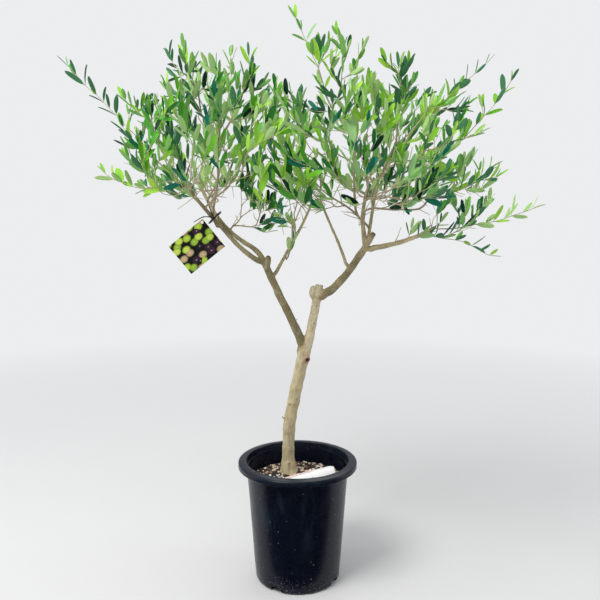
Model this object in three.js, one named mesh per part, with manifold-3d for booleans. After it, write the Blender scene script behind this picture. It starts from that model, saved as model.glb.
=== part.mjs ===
// A young olive tree in a round nursery pot, in millimetres.
//
// Origin: centre of the pot's flat underside. +Z is up, the tree's fork opens along X,
// and -Y is the front. Every sub-part is one closed solid in its own named mesh.

import * as THREE from 'three';
import { mergeVertices } from 'three/addons/utils/BufferGeometryUtils.js';
import Module from 'manifold-3d';

const wasm = await Module();
wasm.setup();

// ---------------------------------------------------------------- driving sizes

const GAP = 0.4; // left between two pieces that meet
const MASS_GAP = 1.0; // left between two masses of leaves

const POT_HEIGHT = 248;
const POT_WALL = 2.5;
const POT_FLOOR = 5;
const POT_FOOT_RADIUS = 86;
const POT_TOP_RADIUS = 102.5; // outside of the wall, where it meets the lip
const POT_SIDES = 36;
const LIP_RADIUS = 120;
const LIP_INNER_RADIUS = 103;
const LIP_SKIRT = 13;
const LIP_THICKNESS = 3;
const LIP_COLLAR_RADIUS = 105; // outside of the short collar where the lip meets the wall
const FOOT_CORNER = 7; // roundness of the pot's bottom edge
const FOOT_PAD_RADIUS = 62; // flat middle of the underside
const FOOT_CHANNEL_RADIUS = 75; // outside of the drainage channel around the pad
const FOOT_CHANNEL_DEPTH = 2.5;
const FOOT_CHANNEL_SLOPE = 3; // how far the channel's sides lean
const NOTCH_COUNT = 4;
const NOTCH_FIRST = -30; // degrees from the front, towards +X
const NOTCH_WIDTH = 24;
const NOTCH_HEIGHT = 11;
const NOTCH_CORNER = 5;
const NOTCH_OVERLAP = 1.5; // how far a notch reaches into the channel

const SOIL_EDGE_HEIGHT = 206;
const SOIL_TOP_HEIGHT = 213;
const SOIL_CROWN_RADIUS = 58;
const SOIL_SIDES = 28;
const SOIL_CLEARANCE = 1; // between the soil and the wall, whose flat faces cut inwards

const FRAME_STEPS = 60; // how finely a path's frame is worked out
const LIMB_SIDES = 8;
const LIMB_STEP = 34; // between the rings of a limb
const TRUNK_FOOT_RADIUS = 17;
const TRUNK_FLARE_HEIGHT = 30;

const MASS_SIDES = 10;
const MASS_RINGS = 7;
const MASS_UNEVENNESS = 0.22;
const MASS_ROUNDNESS = 0.8; // 1 is an egg, and less is blunter
const MASS_FULLNESS = 0.5;
const TIP_FULLNESS = 0.3;

const LABEL_LENGTH = 140;
const LABEL_WIDTH = 46;
const LABEL_THICKNESS = 1;
const TAG_LENGTH = 84;
const TAG_WIDTH = 67;
const TAG_THICKNESS = 1;
const TIE_RADIUS = 16;
const TIE_THICKNESS = 3;

// Places of the label's foot, the tag and the tie, and their turns in degrees.
const LABEL_FOOT = [-48.5, -45, SOIL_TOP_HEIGHT + GAP];
const LABEL_TURN = 29;
const TAG_CENTRE = [-191, -31, 680];
const TAG_TURN = -39;
const TIE_CENTRE = [-159, -3.5, 734];
const TIE_AXIS = [-0.69, 0, 0.72]; // along the two boughs that the tie holds

// ---------------------------------------------------------------- colours

const BLACK_PLASTIC = { color: 0x0b1120, roughness: 0.42 };
const SOIL = { color: 0x8a6a4c, roughness: 0.95 };
const BARK = { color: 0xa0906f, roughness: 0.85 };
const LEAF_SHADES = [0x5f8f3a, 0x3f7f3c, 0x7da83c, 0x2f6f4b];
const LEAF_ROUGHNESS = 0.7;
const WHITE_PLASTIC = { color: 0xeeeeea, roughness: 0.5 };
const PRINTED_CARD = { color: 0x4a5a24, roughness: 0.45 };

// ---------------------------------------------------------------- limbs
// Each limb follows a few points, from the end nearer the root to the end nearer the
// leaves, and tapers evenly from its first radius to its last.

const LIMBS = [
  {
    name: 'trunk',
    radius: [12.6, 12.4],
    foot: true,
    path: [[-18, 20, SOIL_TOP_HEIGHT + GAP], [-19, 18, 281], [-12, 13, 346], [1, 7, 410], [15, 1, 474]],
  },
  { name: 'leader', radius: [9.4, 8], path: [[15, 1, 462], [26, 0, 510], [34, 0, 553], [43, 0, 603]] },
  {
    name: 'left_main_bough',
    radius: [8.6, 7],
    path: [[14, 1, 478], [-16, -4, 544], [-36, -6, 585], [-64, -4, 647]],
  },
  {
    name: 'left_outer_bough',
    radius: [5.2, 3.2],
    path: [[-60, -4, 641], [-102, -7, 668], [-150, -10, 721], [-166, -13, 738], [-200, -52, 786]],
  },
  {
    name: 'left_inner_bough',
    radius: [5.2, 3.2],
    path: [[-60, -4, 641], [-82, 4, 674], [-118, 6, 694], [-158, 4, 738], [-190, 44, 790]],
  },
  {
    name: 'left_upright_branch',
    radius: [3.6, 2.6],
    path: [[-50, -5, 612], [-26, 15, 656], [9, 40, 718], [32, 62, 768]],
  },
  { name: 'left_sawn_stub', radius: [6.6, 6], path: [[-60, -6, 632], [-56, -17, 659]] },
  {
    name: 'right_main_bough',
    radius: [8.2, 7],
    path: [[37, 0, 577], [72, -3, 597], [96, -6, 625], [133, -10, 680]],
  },
  {
    name: 'right_front_branch',
    radius: [4.8, 3.2],
    path: [[131, -10, 674], [126, -20, 712], [122, -38, 742], [130, -62, 790]],
  },
  {
    name: 'right_back_branch',
    radius: [3.8, 3],
    path: [[133, -8, 672], [142, 15, 714], [150, 40, 756], [158, 60, 790]],
  },
  {
    name: 'right_outer_bough',
    radius: [5.6, 3.6],
    path: [[129, -10, 673], [169, -14, 680], [219, -20, 694], [262, -26, 716]],
  },
  {
    name: 'right_inner_branch',
    radius: [3.2, 2.4],
    path: [[99, -6, 632], [84, 15, 676], [61, 50, 730], [46, 74, 768]],
  },
  { name: 'right_sawn_stub', radius: [5.6, 5], path: [[131, -14, 678], [146, -22, 705]] },
];

// ---------------------------------------------------------------- masses of leaves
// Each mass is an uneven solid along a short spine. Its girth is its greatest radius. How
// far along its spine a mass is widest is its fullness, from 0 at the foot to 1 at the tip.

const MASSES = [
  // left lobe
  { name: 'left_front_mass', girth: 66, path: [[-152, -60, 758], [-172, -100, 853], [-184, -112, 998]] },
  { name: 'left_back_mass', girth: 68, path: [[-150, 62, 766], [-152, 104, 890], [-166, 100, 1044]] },
  { name: 'left_shoulder_mass', girth: 56, path: [[-200, -6, 764], [-260, -14, 840], [-318, -6, 978]] },
  { name: 'left_rear_mass', girth: 60, path: [[-206, 100, 786], [-256, 190, 866], [-262, 216, 990]] },
  { name: 'left_fore_mass', girth: 56, path: [[-178, -120, 776], [-206, -198, 838], [-214, -226, 945]] },
  { name: 'left_spire_mass', girth: 30, path: [[-206, 0, 910], [-214, 0, 990], [-219, 0, 1062]] },
  // middle of the crown
  { name: 'centre_left_mass', girth: 62, path: [[-78, 0, 756], [-90, 0, 900], [-92, 0, 1058]] },
  { name: 'centre_front_mass', girth: 66, path: [[-24, -44, 738], [-30, -112, 836], [-10, -140, 962]] },
  { name: 'centre_back_mass', girth: 70, path: [[22, 72, 748], [2, 146, 850], [-30, 170, 1000]] },
  { name: 'centre_low_mass', girth: 32, path: [[6, 20, 718], [-60, 18, 740], [-128, 24, 762]] },
  { name: 'centre_right_mass', girth: 58, path: [[56, 4, 744], [40, 0, 830], [46, 0, 960]] },
  { name: 'centre_top_mass', girth: 50, path: [[56, 0, 910], [76, 4, 985], [84, 0, 1078]] },
  // right lobe
  { name: 'right_front_mass', girth: 68, path: [[126, -56, 760], [114, -112, 850], [112, -124, 985]] },
  { name: 'right_back_mass', girth: 70, path: [[150, 52, 760], [164, 124, 866], [170, 136, 1020]] },
  { name: 'right_crown_mass', girth: 60, path: [[196, 0, 750], [218, 0, 870], [186, 0, 1044]] },
  { name: 'right_shoulder_mass', girth: 56, path: [[262, 0, 740], [302, 0, 840], [300, 0, 978]] },
  { name: 'right_rear_mass', girth: 60, path: [[204, 110, 766], [262, 186, 860], [282, 212, 985]] },
  { name: 'right_fore_mass', girth: 58, path: [[178, -110, 752], [218, -186, 832], [226, -216, 940]] },
  { name: 'right_low_mass', girth: 30, path: [[204, -22, 716], [276, -30, 716], [356, -30, 742]] },
  { name: 'right_outer_mass', girth: 28, path: [[338, 0, 752], [366, 0, 796], [378, 0, 846]] },
];

// Slender shoots that reach past the masses, widest near the foot.
const TIPS = [
  { name: 'left_high_tip', girth: 24, path: [[-308, 0, 900], [-384, 20, 968], [-458, 40, 1040]] },
  { name: 'left_low_tip', girth: 22, path: [[-250, 0, 792], [-322, -16, 802], [-386, -30, 830]] },
  { name: 'crown_tip', girth: 22, path: [[44, -20, 950], [12, -20, 1040], [-15, -20, 1126]] },
  { name: 'right_high_tip', girth: 22, path: [[286, 0, 940], [334, 0, 994], [376, 0, 1042]] },
  { name: 'right_upper_tip', girth: 22, path: [[330, -10, 880], [386, -10, 950], [417, -10, 1016]] },
  { name: 'right_far_tip', girth: 18, path: [[340, -30, 744], [412, -30, 748], [470, -30, 758]] },
  { name: 'right_low_tip', girth: 16, path: [[300, -20, 694], [360, -20, 682], [394, -20, 646]] },
  { name: 'low_sprig', girth: 14, path: [[-28, 10, 640], [-18, 6, 662], [-6, 8, 684]] },
];

const ALL_MASSES = [...MASSES, ...TIPS];

// ---------------------------------------------------------------- solids

function toSolid(geometry) {
  const bare = geometry.clone();
  bare.deleteAttribute('normal');
  bare.deleteAttribute('uv');
  const merged = mergeVertices(bare, 1e-4);
  const vertProperties = new Float32Array(merged.attributes.position.array);
  const triVerts = new Uint32Array(merged.index.array);
  return new wasm.Manifold(new wasm.Mesh({ numProp: 3, vertProperties, triVerts }));
}

function toGeometry(solid) {
  const { vertProperties, triVerts } = solid.getMesh();
  const geometry = new THREE.BufferGeometry();
  geometry.setAttribute('position', new THREE.BufferAttribute(vertProperties, 3));
  geometry.setIndex(new THREE.BufferAttribute(triVerts, 1));
  geometry.computeVertexNormals();
  return geometry;
}

// What is left of a solid outside the others: only its largest piece is kept.
function cutBy(solid, others) {
  let rest = solid;
  for (const other of others) {
    rest = rest.subtract(other);
  }
  const pieces = rest.decompose();
  return pieces.reduce((a, b) => (b.volume() > a.volume() ? b : a));
}

function smoothPath(points) {
  return new THREE.CatmullRomCurve3(points.map((p) => new THREE.Vector3(...p)), false, 'centripetal');
}

// A frame along a path that never twists: two directions across it at each share of its length.
function framesAlong(curve) {
  const { tangents, normals, binormals } = curve.computeFrenetFrames(FRAME_STEPS, false);
  return (share) => {
    const i = Math.round(share * FRAME_STEPS);
    const up = binormals[i].clone().negate();
    return { point: curve.getPointAt(share), along: tangents[i], side: normals[i], up };
  };
}

// ---------------------------------------------------------------- limbs and masses

function flare(height) {
  const share = THREE.MathUtils.clamp(1 - height / TRUNK_FLARE_HEIGHT, 0, 1);
  return share * share;
}

// A cylinder that stands along Y from -0.5 to 0.5, bent onto the limb's path and tapered.
// extra makes it that much larger all over, as the shape that its neighbours keep clear of.
function limbShape(limb, extra) {
  const curve = smoothPath(limb.path);
  const frameAt = framesAlong(curve);
  const steps = Math.max(2, Math.round(curve.getLength() / LIMB_STEP));
  const stem = new THREE.CylinderGeometry(1, 1, 1, LIMB_SIDES, steps);
  const position = stem.attributes.position;
  const point = new THREE.Vector3();
  const [first, last] = limb.radius;
  for (let i = 0; i < position.count; i += 1) {
    point.fromBufferAttribute(position, i);
    const share = THREE.MathUtils.clamp(point.y + 0.5, 0, 1);
    const frame = frameAt(share);
    let radius = THREE.MathUtils.lerp(first, last, share) + extra;
    if (limb.foot) {
      radius += (TRUNK_FOOT_RADIUS - first) * flare(frame.point.z - SOIL_TOP_HEIGHT);
    }
    const moved = frame.point.clone().addScaledVector(frame.along, endShift(share, extra));
    moved.addScaledVector(frame.side, point.x * radius);
    moved.addScaledVector(frame.up, point.z * radius);
    if (limb.foot && share === 0) {
      moved.z = frame.point.z - extra;
    }
    position.setXYZ(i, moved.x, moved.y, moved.z);
  }
  return stem;
}

function endShift(share, extra) {
  if (share === 0) {
    return -extra;
  }
  return share === 1 ? extra : 0;
}

// Smooth, repeatable lumps: a sum of waves around and along the mass.
function lumps(seed, angle, share) {
  const slow = Math.sin(2 * angle + 1.7 * seed) * Math.sin(5 * share + 2.3 * seed);
  const quick = Math.sin(3 * angle + 4 * share + 0.9 * seed);
  const along = Math.sin(9 * share + 3.1 * seed);
  return MASS_UNEVENNESS * (0.6 * slow + 0.5 * quick + 0.35 * along);
}

function fullnessOf(mass) {
  return TIPS.includes(mass) ? TIP_FULLNESS : MASS_FULLNESS;
}

// A ball whose rings are moved onto the mass's spine, each with its own uneven outline.
function massShape(mass, extra) {
  const seed = ALL_MASSES.indexOf(mass) + 1;
  const frameAt = framesAlong(smoothPath(mass.path));
  const skew = Math.log(0.5) / Math.log(1 - fullnessOf(mass));
  const ball = new THREE.SphereGeometry(1, MASS_SIDES, MASS_RINGS);
  const position = ball.attributes.position;
  const point = new THREE.Vector3();
  for (let i = 0; i < position.count; i += 1) {
    point.fromBufferAttribute(position, i);
    const fromTip = THREE.MathUtils.clamp((1 - point.y) / 2, 0, 1);
    const share = 1 - fromTip ** (1 / skew);
    const across = Math.hypot(point.x, point.z);
    const isEnd = across < 1e-6;
    const around = Math.atan2(point.z, point.x);
    const girth = mass.girth * across ** MASS_ROUNDNESS;
    const radius = isEnd ? 0 : girth * (1 + lumps(seed, around, share)) + extra;
    const frame = frameAt(share);
    const moved = frame.point.clone();
    if (isEnd) {
      moved.addScaledVector(frame.along, endShift(Math.round(share), extra));
    }
    moved.addScaledVector(frame.side, Math.cos(around) * radius);
    moved.addScaledVector(frame.up, Math.sin(around) * radius);
    position.setXYZ(i, moved.x, moved.y, moved.z);
  }
  return ball;
}

// ---------------------------------------------------------------- pot and soil

function wallRadius(height) {
  const share = THREE.MathUtils.clamp(height / (POT_HEIGHT - LIP_SKIRT), 0, 1);
  return THREE.MathUtils.lerp(POT_FOOT_RADIUS, POT_TOP_RADIUS, share);
}

// Points of an arc, with its angles in degrees.
function arc(centreX, centreY, radius, from, to, steps) {
  const points = [];
  for (let i = 0; i <= steps; i += 1) {
    const angle = THREE.MathUtils.degToRad(THREE.MathUtils.lerp(from, to, i / steps));
    const x = centreX + radius * Math.cos(angle);
    const y = centreY + radius * Math.sin(angle);
    points.push(new THREE.Vector2(x, y));
  }
  return points;
}

// Lathes are drawn in the XY plane around Y, so they are turned to stand along Z.
function latheUpright(profile, sides) {
  return new THREE.LatheGeometry(profile, sides).rotateX(Math.PI / 2);
}

// The wall and floor, up to the plane where the lip begins.
function potShape() {
  const top = POT_HEIGHT - LIP_SKIRT - GAP;
  const floor = POT_FLOOR + FOOT_CHANNEL_DEPTH;
  const profile = [
    new THREE.Vector2(0, 0),
    new THREE.Vector2(FOOT_PAD_RADIUS, 0),
    new THREE.Vector2(FOOT_PAD_RADIUS + FOOT_CHANNEL_SLOPE, FOOT_CHANNEL_DEPTH),
    new THREE.Vector2(FOOT_CHANNEL_RADIUS - FOOT_CHANNEL_SLOPE, FOOT_CHANNEL_DEPTH),
    new THREE.Vector2(FOOT_CHANNEL_RADIUS, 0),
    ...arc(POT_FOOT_RADIUS - FOOT_CORNER, FOOT_CORNER, FOOT_CORNER, -90, -5, 3),
    new THREE.Vector2(wallRadius(top), top),
    new THREE.Vector2(wallRadius(top) - POT_WALL, top),
    new THREE.Vector2(wallRadius(floor * 2) - POT_WALL, floor * 2),
    new THREE.Vector2(wallRadius(0) - POT_WALL - FOOT_CORNER, floor),
    new THREE.Vector2(0, floor),
  ];
  let pot = toSolid(facingOut(latheUpright(profile, POT_SIDES)));
  for (let i = 0; i < NOTCH_COUNT; i += 1) {
    pot = pot.subtract(toSolid(notchShape(NOTCH_FIRST + (360 * i) / NOTCH_COUNT)));
  }
  return pot;
}

// The broad lip: a rolled ring with a skirt outside and a short collar inside.
function lipShape() {
  const low = POT_HEIGHT - LIP_SKIRT;
  const roll = LIP_THICKNESS;
  const inner = wallRadius(low) - POT_WALL;
  const profile = [
    new THREE.Vector2(inner, low),
    new THREE.Vector2(wallRadius(low), low),
    new THREE.Vector2(LIP_COLLAR_RADIUS, POT_HEIGHT - 2 * roll),
    new THREE.Vector2(LIP_RADIUS - roll, POT_HEIGHT - 2 * roll),
    new THREE.Vector2(LIP_RADIUS - roll, low),
    new THREE.Vector2(LIP_RADIUS, low),
    ...arc(LIP_RADIUS - roll, POT_HEIGHT - roll, roll, 0, 90, 2),
    ...arc(LIP_INNER_RADIUS + roll, POT_HEIGHT - roll, roll, 90, 180, 2),
    new THREE.Vector2(inner, low),
  ];
  return toSolid(facingOut(latheUpright(profile, POT_SIDES)));
}

// An arched cutter that reaches through the pot's foot ring into the channel.
function notchShape(degrees) {
  const half = NOTCH_WIDTH / 2;
  const shoulder = NOTCH_HEIGHT - NOTCH_CORNER;
  const outline = new THREE.Shape();
  outline.moveTo(-half, -NOTCH_HEIGHT);
  outline.lineTo(half, -NOTCH_HEIGHT);
  outline.lineTo(half, shoulder);
  outline.quadraticCurveTo(half, NOTCH_HEIGHT, half - NOTCH_CORNER, NOTCH_HEIGHT);
  outline.lineTo(-half + NOTCH_CORNER, NOTCH_HEIGHT);
  outline.quadraticCurveTo(-half, NOTCH_HEIGHT, -half, shoulder);
  outline.closePath();
  const start = FOOT_CHANNEL_RADIUS - NOTCH_OVERLAP;
  const depth = POT_TOP_RADIUS - start;
  const cutter = new THREE.ExtrudeGeometry(outline, { depth, bevelEnabled: false, curveSegments: 2 });
  cutter.rotateX(Math.PI / 2);
  cutter.translate(0, -start, 0);
  cutter.rotateZ(THREE.MathUtils.degToRad(degrees));
  return cutter;
}

// Turns a shape's faces round if they point inwards.
function facingOut(geometry) {
  const position = geometry.attributes.position;
  const index = geometry.index.array;
  const corner = [new THREE.Vector3(), new THREE.Vector3(), new THREE.Vector3()];
  let volume = 0;
  for (let i = 0; i < index.length; i += 3) {
    corner.forEach((c, k) => c.fromBufferAttribute(position, index[i + k]));
    volume += corner[0].dot(corner[1].clone().cross(corner[2]));
  }
  if (volume < 0) {
    for (let i = 0; i < index.length; i += 3) {
      [index[i + 1], index[i + 2]] = [index[i + 2], index[i + 1]];
    }
  }
  return geometry;
}

function soilShape() {
  const foot = POT_FLOOR + FOOT_CHANNEL_DEPTH + GAP;
  const edge = (height) => wallRadius(height) - POT_WALL - SOIL_CLEARANCE;
  const middle = (SOIL_CROWN_RADIUS + edge(SOIL_EDGE_HEIGHT)) / 2;
  const profile = [
    new THREE.Vector2(0, foot),
    new THREE.Vector2(edge(0) - FOOT_CORNER, foot),
    new THREE.Vector2(edge(foot * 2), foot * 2),
    new THREE.Vector2(edge(SOIL_EDGE_HEIGHT), SOIL_EDGE_HEIGHT),
    new THREE.Vector2(middle, THREE.MathUtils.lerp(SOIL_EDGE_HEIGHT, SOIL_TOP_HEIGHT, 0.4)),
    new THREE.Vector2(SOIL_CROWN_RADIUS, SOIL_TOP_HEIGHT),
    new THREE.Vector2(0, SOIL_TOP_HEIGHT),
  ];
  return toSolid(facingOut(latheUpright(profile, SOIL_SIDES)));
}

// ---------------------------------------------------------------- label, tag and tie

// A blank tongue-shaped plant label that lies on the soil.
function labelShape() {
  const half = LABEL_WIDTH / 2;
  const outline = new THREE.Shape();
  outline.moveTo(0, -half * 0.5);
  outline.lineTo(LABEL_LENGTH * 0.2, -half);
  outline.lineTo(LABEL_LENGTH - half * 0.6, -half);
  outline.quadraticCurveTo(LABEL_LENGTH, -half, LABEL_LENGTH, 0);
  outline.quadraticCurveTo(LABEL_LENGTH, half, LABEL_LENGTH - half * 0.6, half);
  outline.lineTo(LABEL_LENGTH * 0.2, half);
  outline.lineTo(0, half * 0.5);
  outline.closePath();
  const depth = LABEL_THICKNESS;
  return new THREE.ExtrudeGeometry(outline, { depth, bevelEnabled: false, curveSegments: 5 });
}

function tagShape() {
  return new THREE.BoxGeometry(TAG_LENGTH, TAG_THICKNESS, TAG_WIDTH);
}

function tieShape() {
  return new THREE.TorusGeometry(TIE_RADIUS, TIE_THICKNESS / 2, 6, 20);
}

// ---------------------------------------------------------------- assembly

const tree = new THREE.Group();

function addPiece(name, geometry, look) {
  const material = new THREE.MeshStandardMaterial({ metalness: 0, ...look });
  const mesh = new THREE.Mesh(geometry, material);
  mesh.name = name;
  tree.add(mesh);
  return mesh;
}

addPiece('pot', toGeometry(potShape()), BLACK_PLASTIC);
addPiece('pot_lip', toGeometry(lipShape()), BLACK_PLASTIC);
addPiece('soil', toGeometry(soilShape()), SOIL);

const woodCutters = [];
for (const limb of LIMBS) {
  const solid = cutBy(toSolid(limbShape(limb, 0)), woodCutters);
  addPiece(limb.name, toGeometry(solid), BARK);
  woodCutters.push(toSolid(limbShape(limb, GAP)));
}

const massCutters = [...woodCutters];
ALL_MASSES.forEach((mass, i) => {
  const solid = cutBy(toSolid(massShape(mass, 0)), massCutters);
  const color = LEAF_SHADES[i % LEAF_SHADES.length];
  addPiece(mass.name, toGeometry(solid), { color, roughness: LEAF_ROUGHNESS });
  massCutters.push(toSolid(massShape(mass, MASS_GAP)));
});

const label = addPiece('plant_label', labelShape(), WHITE_PLASTIC);
label.position.set(...LABEL_FOOT);
label.rotation.z = THREE.MathUtils.degToRad(LABEL_TURN);

const tag = addPiece('hang_tag', tagShape(), PRINTED_CARD);
tag.position.set(...TAG_CENTRE);
tag.rotation.y = THREE.MathUtils.degToRad(TAG_TURN);

const tie = addPiece('tag_tie', tieShape(), BLACK_PLASTIC);
const tieAxis = new THREE.Vector3(...TIE_AXIS).normalize();
tie.position.set(...TIE_CENTRE);
tie.quaternion.setFromUnitVectors(new THREE.Vector3(0, 0, 1), tieAxis);

export default tree;
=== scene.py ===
"""A young olive tree in a round nursery pot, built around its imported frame.

The bark, twigs, leaves, pot, soil, label, tag and tie are separate pieces, in metres.
"""

import math
import random

import bmesh
import bpy
import numpy as np
from bpy.props import FloatProperty, FloatVectorProperty, IntProperty, PointerProperty
from bpy.types import Operator, Panel, PropertyGroup
from mathutils import Euler, Matrix, Vector, noise
from mathutils.bvhtree import BVHTree
from mathutils.kdtree import KDTree


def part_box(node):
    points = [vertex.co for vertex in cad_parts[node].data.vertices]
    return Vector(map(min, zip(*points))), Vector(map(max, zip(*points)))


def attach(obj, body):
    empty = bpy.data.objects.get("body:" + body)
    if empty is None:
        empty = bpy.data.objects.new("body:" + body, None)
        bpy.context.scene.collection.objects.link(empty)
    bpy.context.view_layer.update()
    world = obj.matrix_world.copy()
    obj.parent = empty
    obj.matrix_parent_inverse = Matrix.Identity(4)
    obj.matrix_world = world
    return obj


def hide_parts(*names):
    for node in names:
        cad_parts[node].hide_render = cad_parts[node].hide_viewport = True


bl_info = {
    "name": "Potted olive tree",
    "version": (1, 0, 0),
    "blender": (4, 5, 0),
    "location": "3D View > Sidebar > Olive tree",
    "description": "Builds a young olive tree in a nursery pot, piece by piece",
    "category": "Object",
}

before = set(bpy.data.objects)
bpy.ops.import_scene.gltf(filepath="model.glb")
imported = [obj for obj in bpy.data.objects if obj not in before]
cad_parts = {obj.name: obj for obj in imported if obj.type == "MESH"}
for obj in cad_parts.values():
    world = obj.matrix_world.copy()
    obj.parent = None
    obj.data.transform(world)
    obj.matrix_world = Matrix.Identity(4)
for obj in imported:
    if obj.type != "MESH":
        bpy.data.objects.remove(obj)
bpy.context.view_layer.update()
MM = 0.001
UP = Vector((0, 0, 1))

# Each limb and the limb that it grows from, in growing order.
LIMB_PARENTS = {
    "trunk": None,
    "leader": "trunk",
    "left_main_bough": "trunk",
    "left_outer_bough": "left_main_bough",
    "left_inner_bough": "left_main_bough",
    "left_upright_branch": "left_main_bough",
    "left_sawn_stub": "left_main_bough",
    "right_main_bough": "leader",
    "right_front_branch": "right_main_bough",
    "right_back_branch": "right_main_bough",
    "right_outer_bough": "right_main_bough",
    "right_inner_branch": "right_main_bough",
    "right_sawn_stub": "right_main_bough",
}
# The limbs that carry twigs, and the share of each where its first twigs stand.
TWIG_BEARERS = {
    "left_outer_bough": 0.55,
    "left_inner_bough": 0.45,
    "left_upright_branch": 0.3,
    "right_front_branch": 0.35,
    "right_back_branch": 0.35,
    "right_outer_bough": 0.35,
    "right_inner_branch": 0.5,
}
LEAF_NODES = sorted(
    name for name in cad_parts
    if name.endswith(("_mass", "_tip", "_sprig"))
)
LOBES = ("left", "centre", "right")


def lobe_of(node):
    """The lobe of the crown that a mass of leaves belongs to."""
    first = node.split("_")[0]
    return first if first in ("left", "right") else "centre"


# ------------------------------------------------------------------ settings


class PotSettings(PropertyGroup):
    """Sizes and colours of the pot."""

    wall: FloatProperty(name="Wall", description="Thickness of the pot's wall",
                        default=2.2 * MM, unit="LENGTH")
    lip_roll: FloatProperty(name="Lip roll", description="Roundness of the lip's outer edge",
                            default=3.2 * MM, unit="LENGTH")
    steps: IntProperty(name="Steps", description="Faces around the pot", default=144)
    colour: FloatVectorProperty(name="Plastic", description="Colour of the moulded plastic",
                                subtype="COLOR", default=(0.0010, 0.0030, 0.0105))
    dust: FloatVectorProperty(name="Dust", description="Colour of the dried lime and dust",
                              subtype="COLOR", default=(0.60, 0.60, 0.57))


class SoilSettings(PropertyGroup):
    """Sizes and colours of the soil."""

    chips: IntProperty(name="Chips", description="Number of bark chips", default=340)
    grit: IntProperty(name="Grit", description="Number of pumice grains", default=230)
    chip_size: FloatProperty(name="Chip size", description="Usual length of a bark chip",
                             default=9.0 * MM, unit="LENGTH")
    colour: FloatVectorProperty(name="Soil", description="Colour of the fine soil",
                                subtype="COLOR", default=(0.006, 0.0035, 0.0025))


class WoodSettings(PropertyGroup):
    """Relief and colours of the bark."""

    voxel: FloatProperty(name="Fineness", description="Size of the faces in the bark",
                         default=1.25 * MM, unit="LENGTH")
    lumps: FloatProperty(name="Lumps", description="Height of the swellings in the bark",
                         default=1.1 * MM, unit="LENGTH")
    ridges: FloatProperty(name="Ridges", description="Height of the fine ridges in the bark",
                          default=0.35 * MM, unit="LENGTH")
    pale: FloatVectorProperty(name="Pale bark", description="Colour of the pale, grey bark",
                              subtype="COLOR", default=(0.62, 0.54, 0.37))
    tan: FloatVectorProperty(name="Tan bark", description="Colour of the tan bark",
                             subtype="COLOR", default=(0.49, 0.41, 0.225))
    olive: FloatVectorProperty(name="Olive bark", description="Colour of the green-brown bark",
                               subtype="COLOR", default=(0.20, 0.168, 0.080))


class CrownSettings(PropertyGroup):
    """How the twigs branch and the leaves stand."""

    seed: IntProperty(name="Seed", description="Start of the random draws", default=7)
    shoot_gap: FloatProperty(name="Shoot gap", description="Least distance between two shoots' ends",
                             default=34.0 * MM, unit="LENGTH")
    leaf_length: FloatProperty(name="Leaf length", description="Usual length of a leaf",
                               default=36.0 * MM, unit="LENGTH")
    leaf_width: FloatProperty(name="Leaf width", description="Width of a leaf, as a share of its length",
                              default=0.26)
    pair_gap: FloatProperty(name="Pair gap", description="Usual distance between two pairs of leaves",
                            default=16.0 * MM, unit="LENGTH")
    tip_radius: FloatProperty(name="Twig tip", description="Radius of the youngest twigs",
                              default=0.62 * MM, unit="LENGTH")


class TrimSettings(PropertyGroup):
    """Colours of the label, the tag and the tie."""

    label: FloatVectorProperty(name="Label", description="Colour of the blank plant label",
                               subtype="COLOR", default=(0.90, 0.90, 0.90))
    tie: FloatVectorProperty(name="Tie", description="Colour of the cable tie",
                             subtype="COLOR", default=(0.008, 0.008, 0.010))


class StageSettings(PropertyGroup):
    """Camera, floor and light."""

    lens: FloatProperty(name="Lens", description="Focal length in millimetres", default=42.6)
    distance: FloatProperty(name="Distance", description="Camera to the pot's axis, level",
                            default=1.382, unit="LENGTH")
    height: FloatProperty(name="Height", description="Camera above the floor",
                          default=0.7675, unit="LENGTH")
    tilt: FloatProperty(name="Tilt", description="How far the camera looks down",
                        default=math.radians(8.014), subtype="ANGLE")
    floor: FloatVectorProperty(name="Floor", description="Colour of the floor and backdrop",
                               subtype="COLOR", default=(0.695, 0.70, 0.705))


SETTINGS = {
    "olive_pot": PotSettings,
    "olive_soil": SoilSettings,
    "olive_wood": WoodSettings,
    "olive_crown": CrownSettings,
    "olive_trim": TrimSettings,
    "olive_stage": StageSettings,
}


# ------------------------------------------------------------------ modelling helpers


def clear_selection():
    """Leaves edit mode and deselects everything."""
    active = bpy.context.view_layer.objects.active
    if active and active.mode != "OBJECT":
        bpy.ops.object.mode_set(mode="OBJECT")
    bpy.ops.object.select_all(action="DESELECT")


def select_only(obj):
    """Makes obj the only selected object and the active one."""
    clear_selection()
    obj.select_set(True)
    bpy.context.view_layer.objects.active = obj
    return obj


def settle(obj, name):
    """Names a finished object and puts its place into its mesh."""
    select_only(obj)
    bpy.ops.object.transform_apply(location=True, rotation=True, scale=True)
    obj.name = name
    obj.data.name = name
    return obj


def apply_modifier(obj, kind, **values):
    """Adds a modifier, sets its values and applies it."""
    select_only(obj)
    modifier = obj.modifiers.new(kind.title(), kind)
    for key, value in values.items():
        setattr(modifier, key, value)
    bpy.ops.object.modifier_apply(modifier=modifier.name)


def join(objects):
    """Joins objects into the first one."""
    select_only(objects[0])
    for obj in objects:
        obj.select_set(True)
    bpy.ops.object.join()
    return objects[0]


def smooth(obj, degrees=35):
    """Shades smooth across edges flatter than this."""
    select_only(obj)
    bpy.ops.object.shade_smooth_by_angle(angle=math.radians(degrees))


def finish_piece(obj, record_slot, materials, *nodes):
    """Gives a piece its materials and its place in the frame."""
    while len(obj.data.materials):
        obj.data.materials.pop()
    for material in materials:
        obj.data.materials.append(material)
    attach(obj, "root")
    if nodes:
        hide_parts(*nodes)
    return obj


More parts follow.
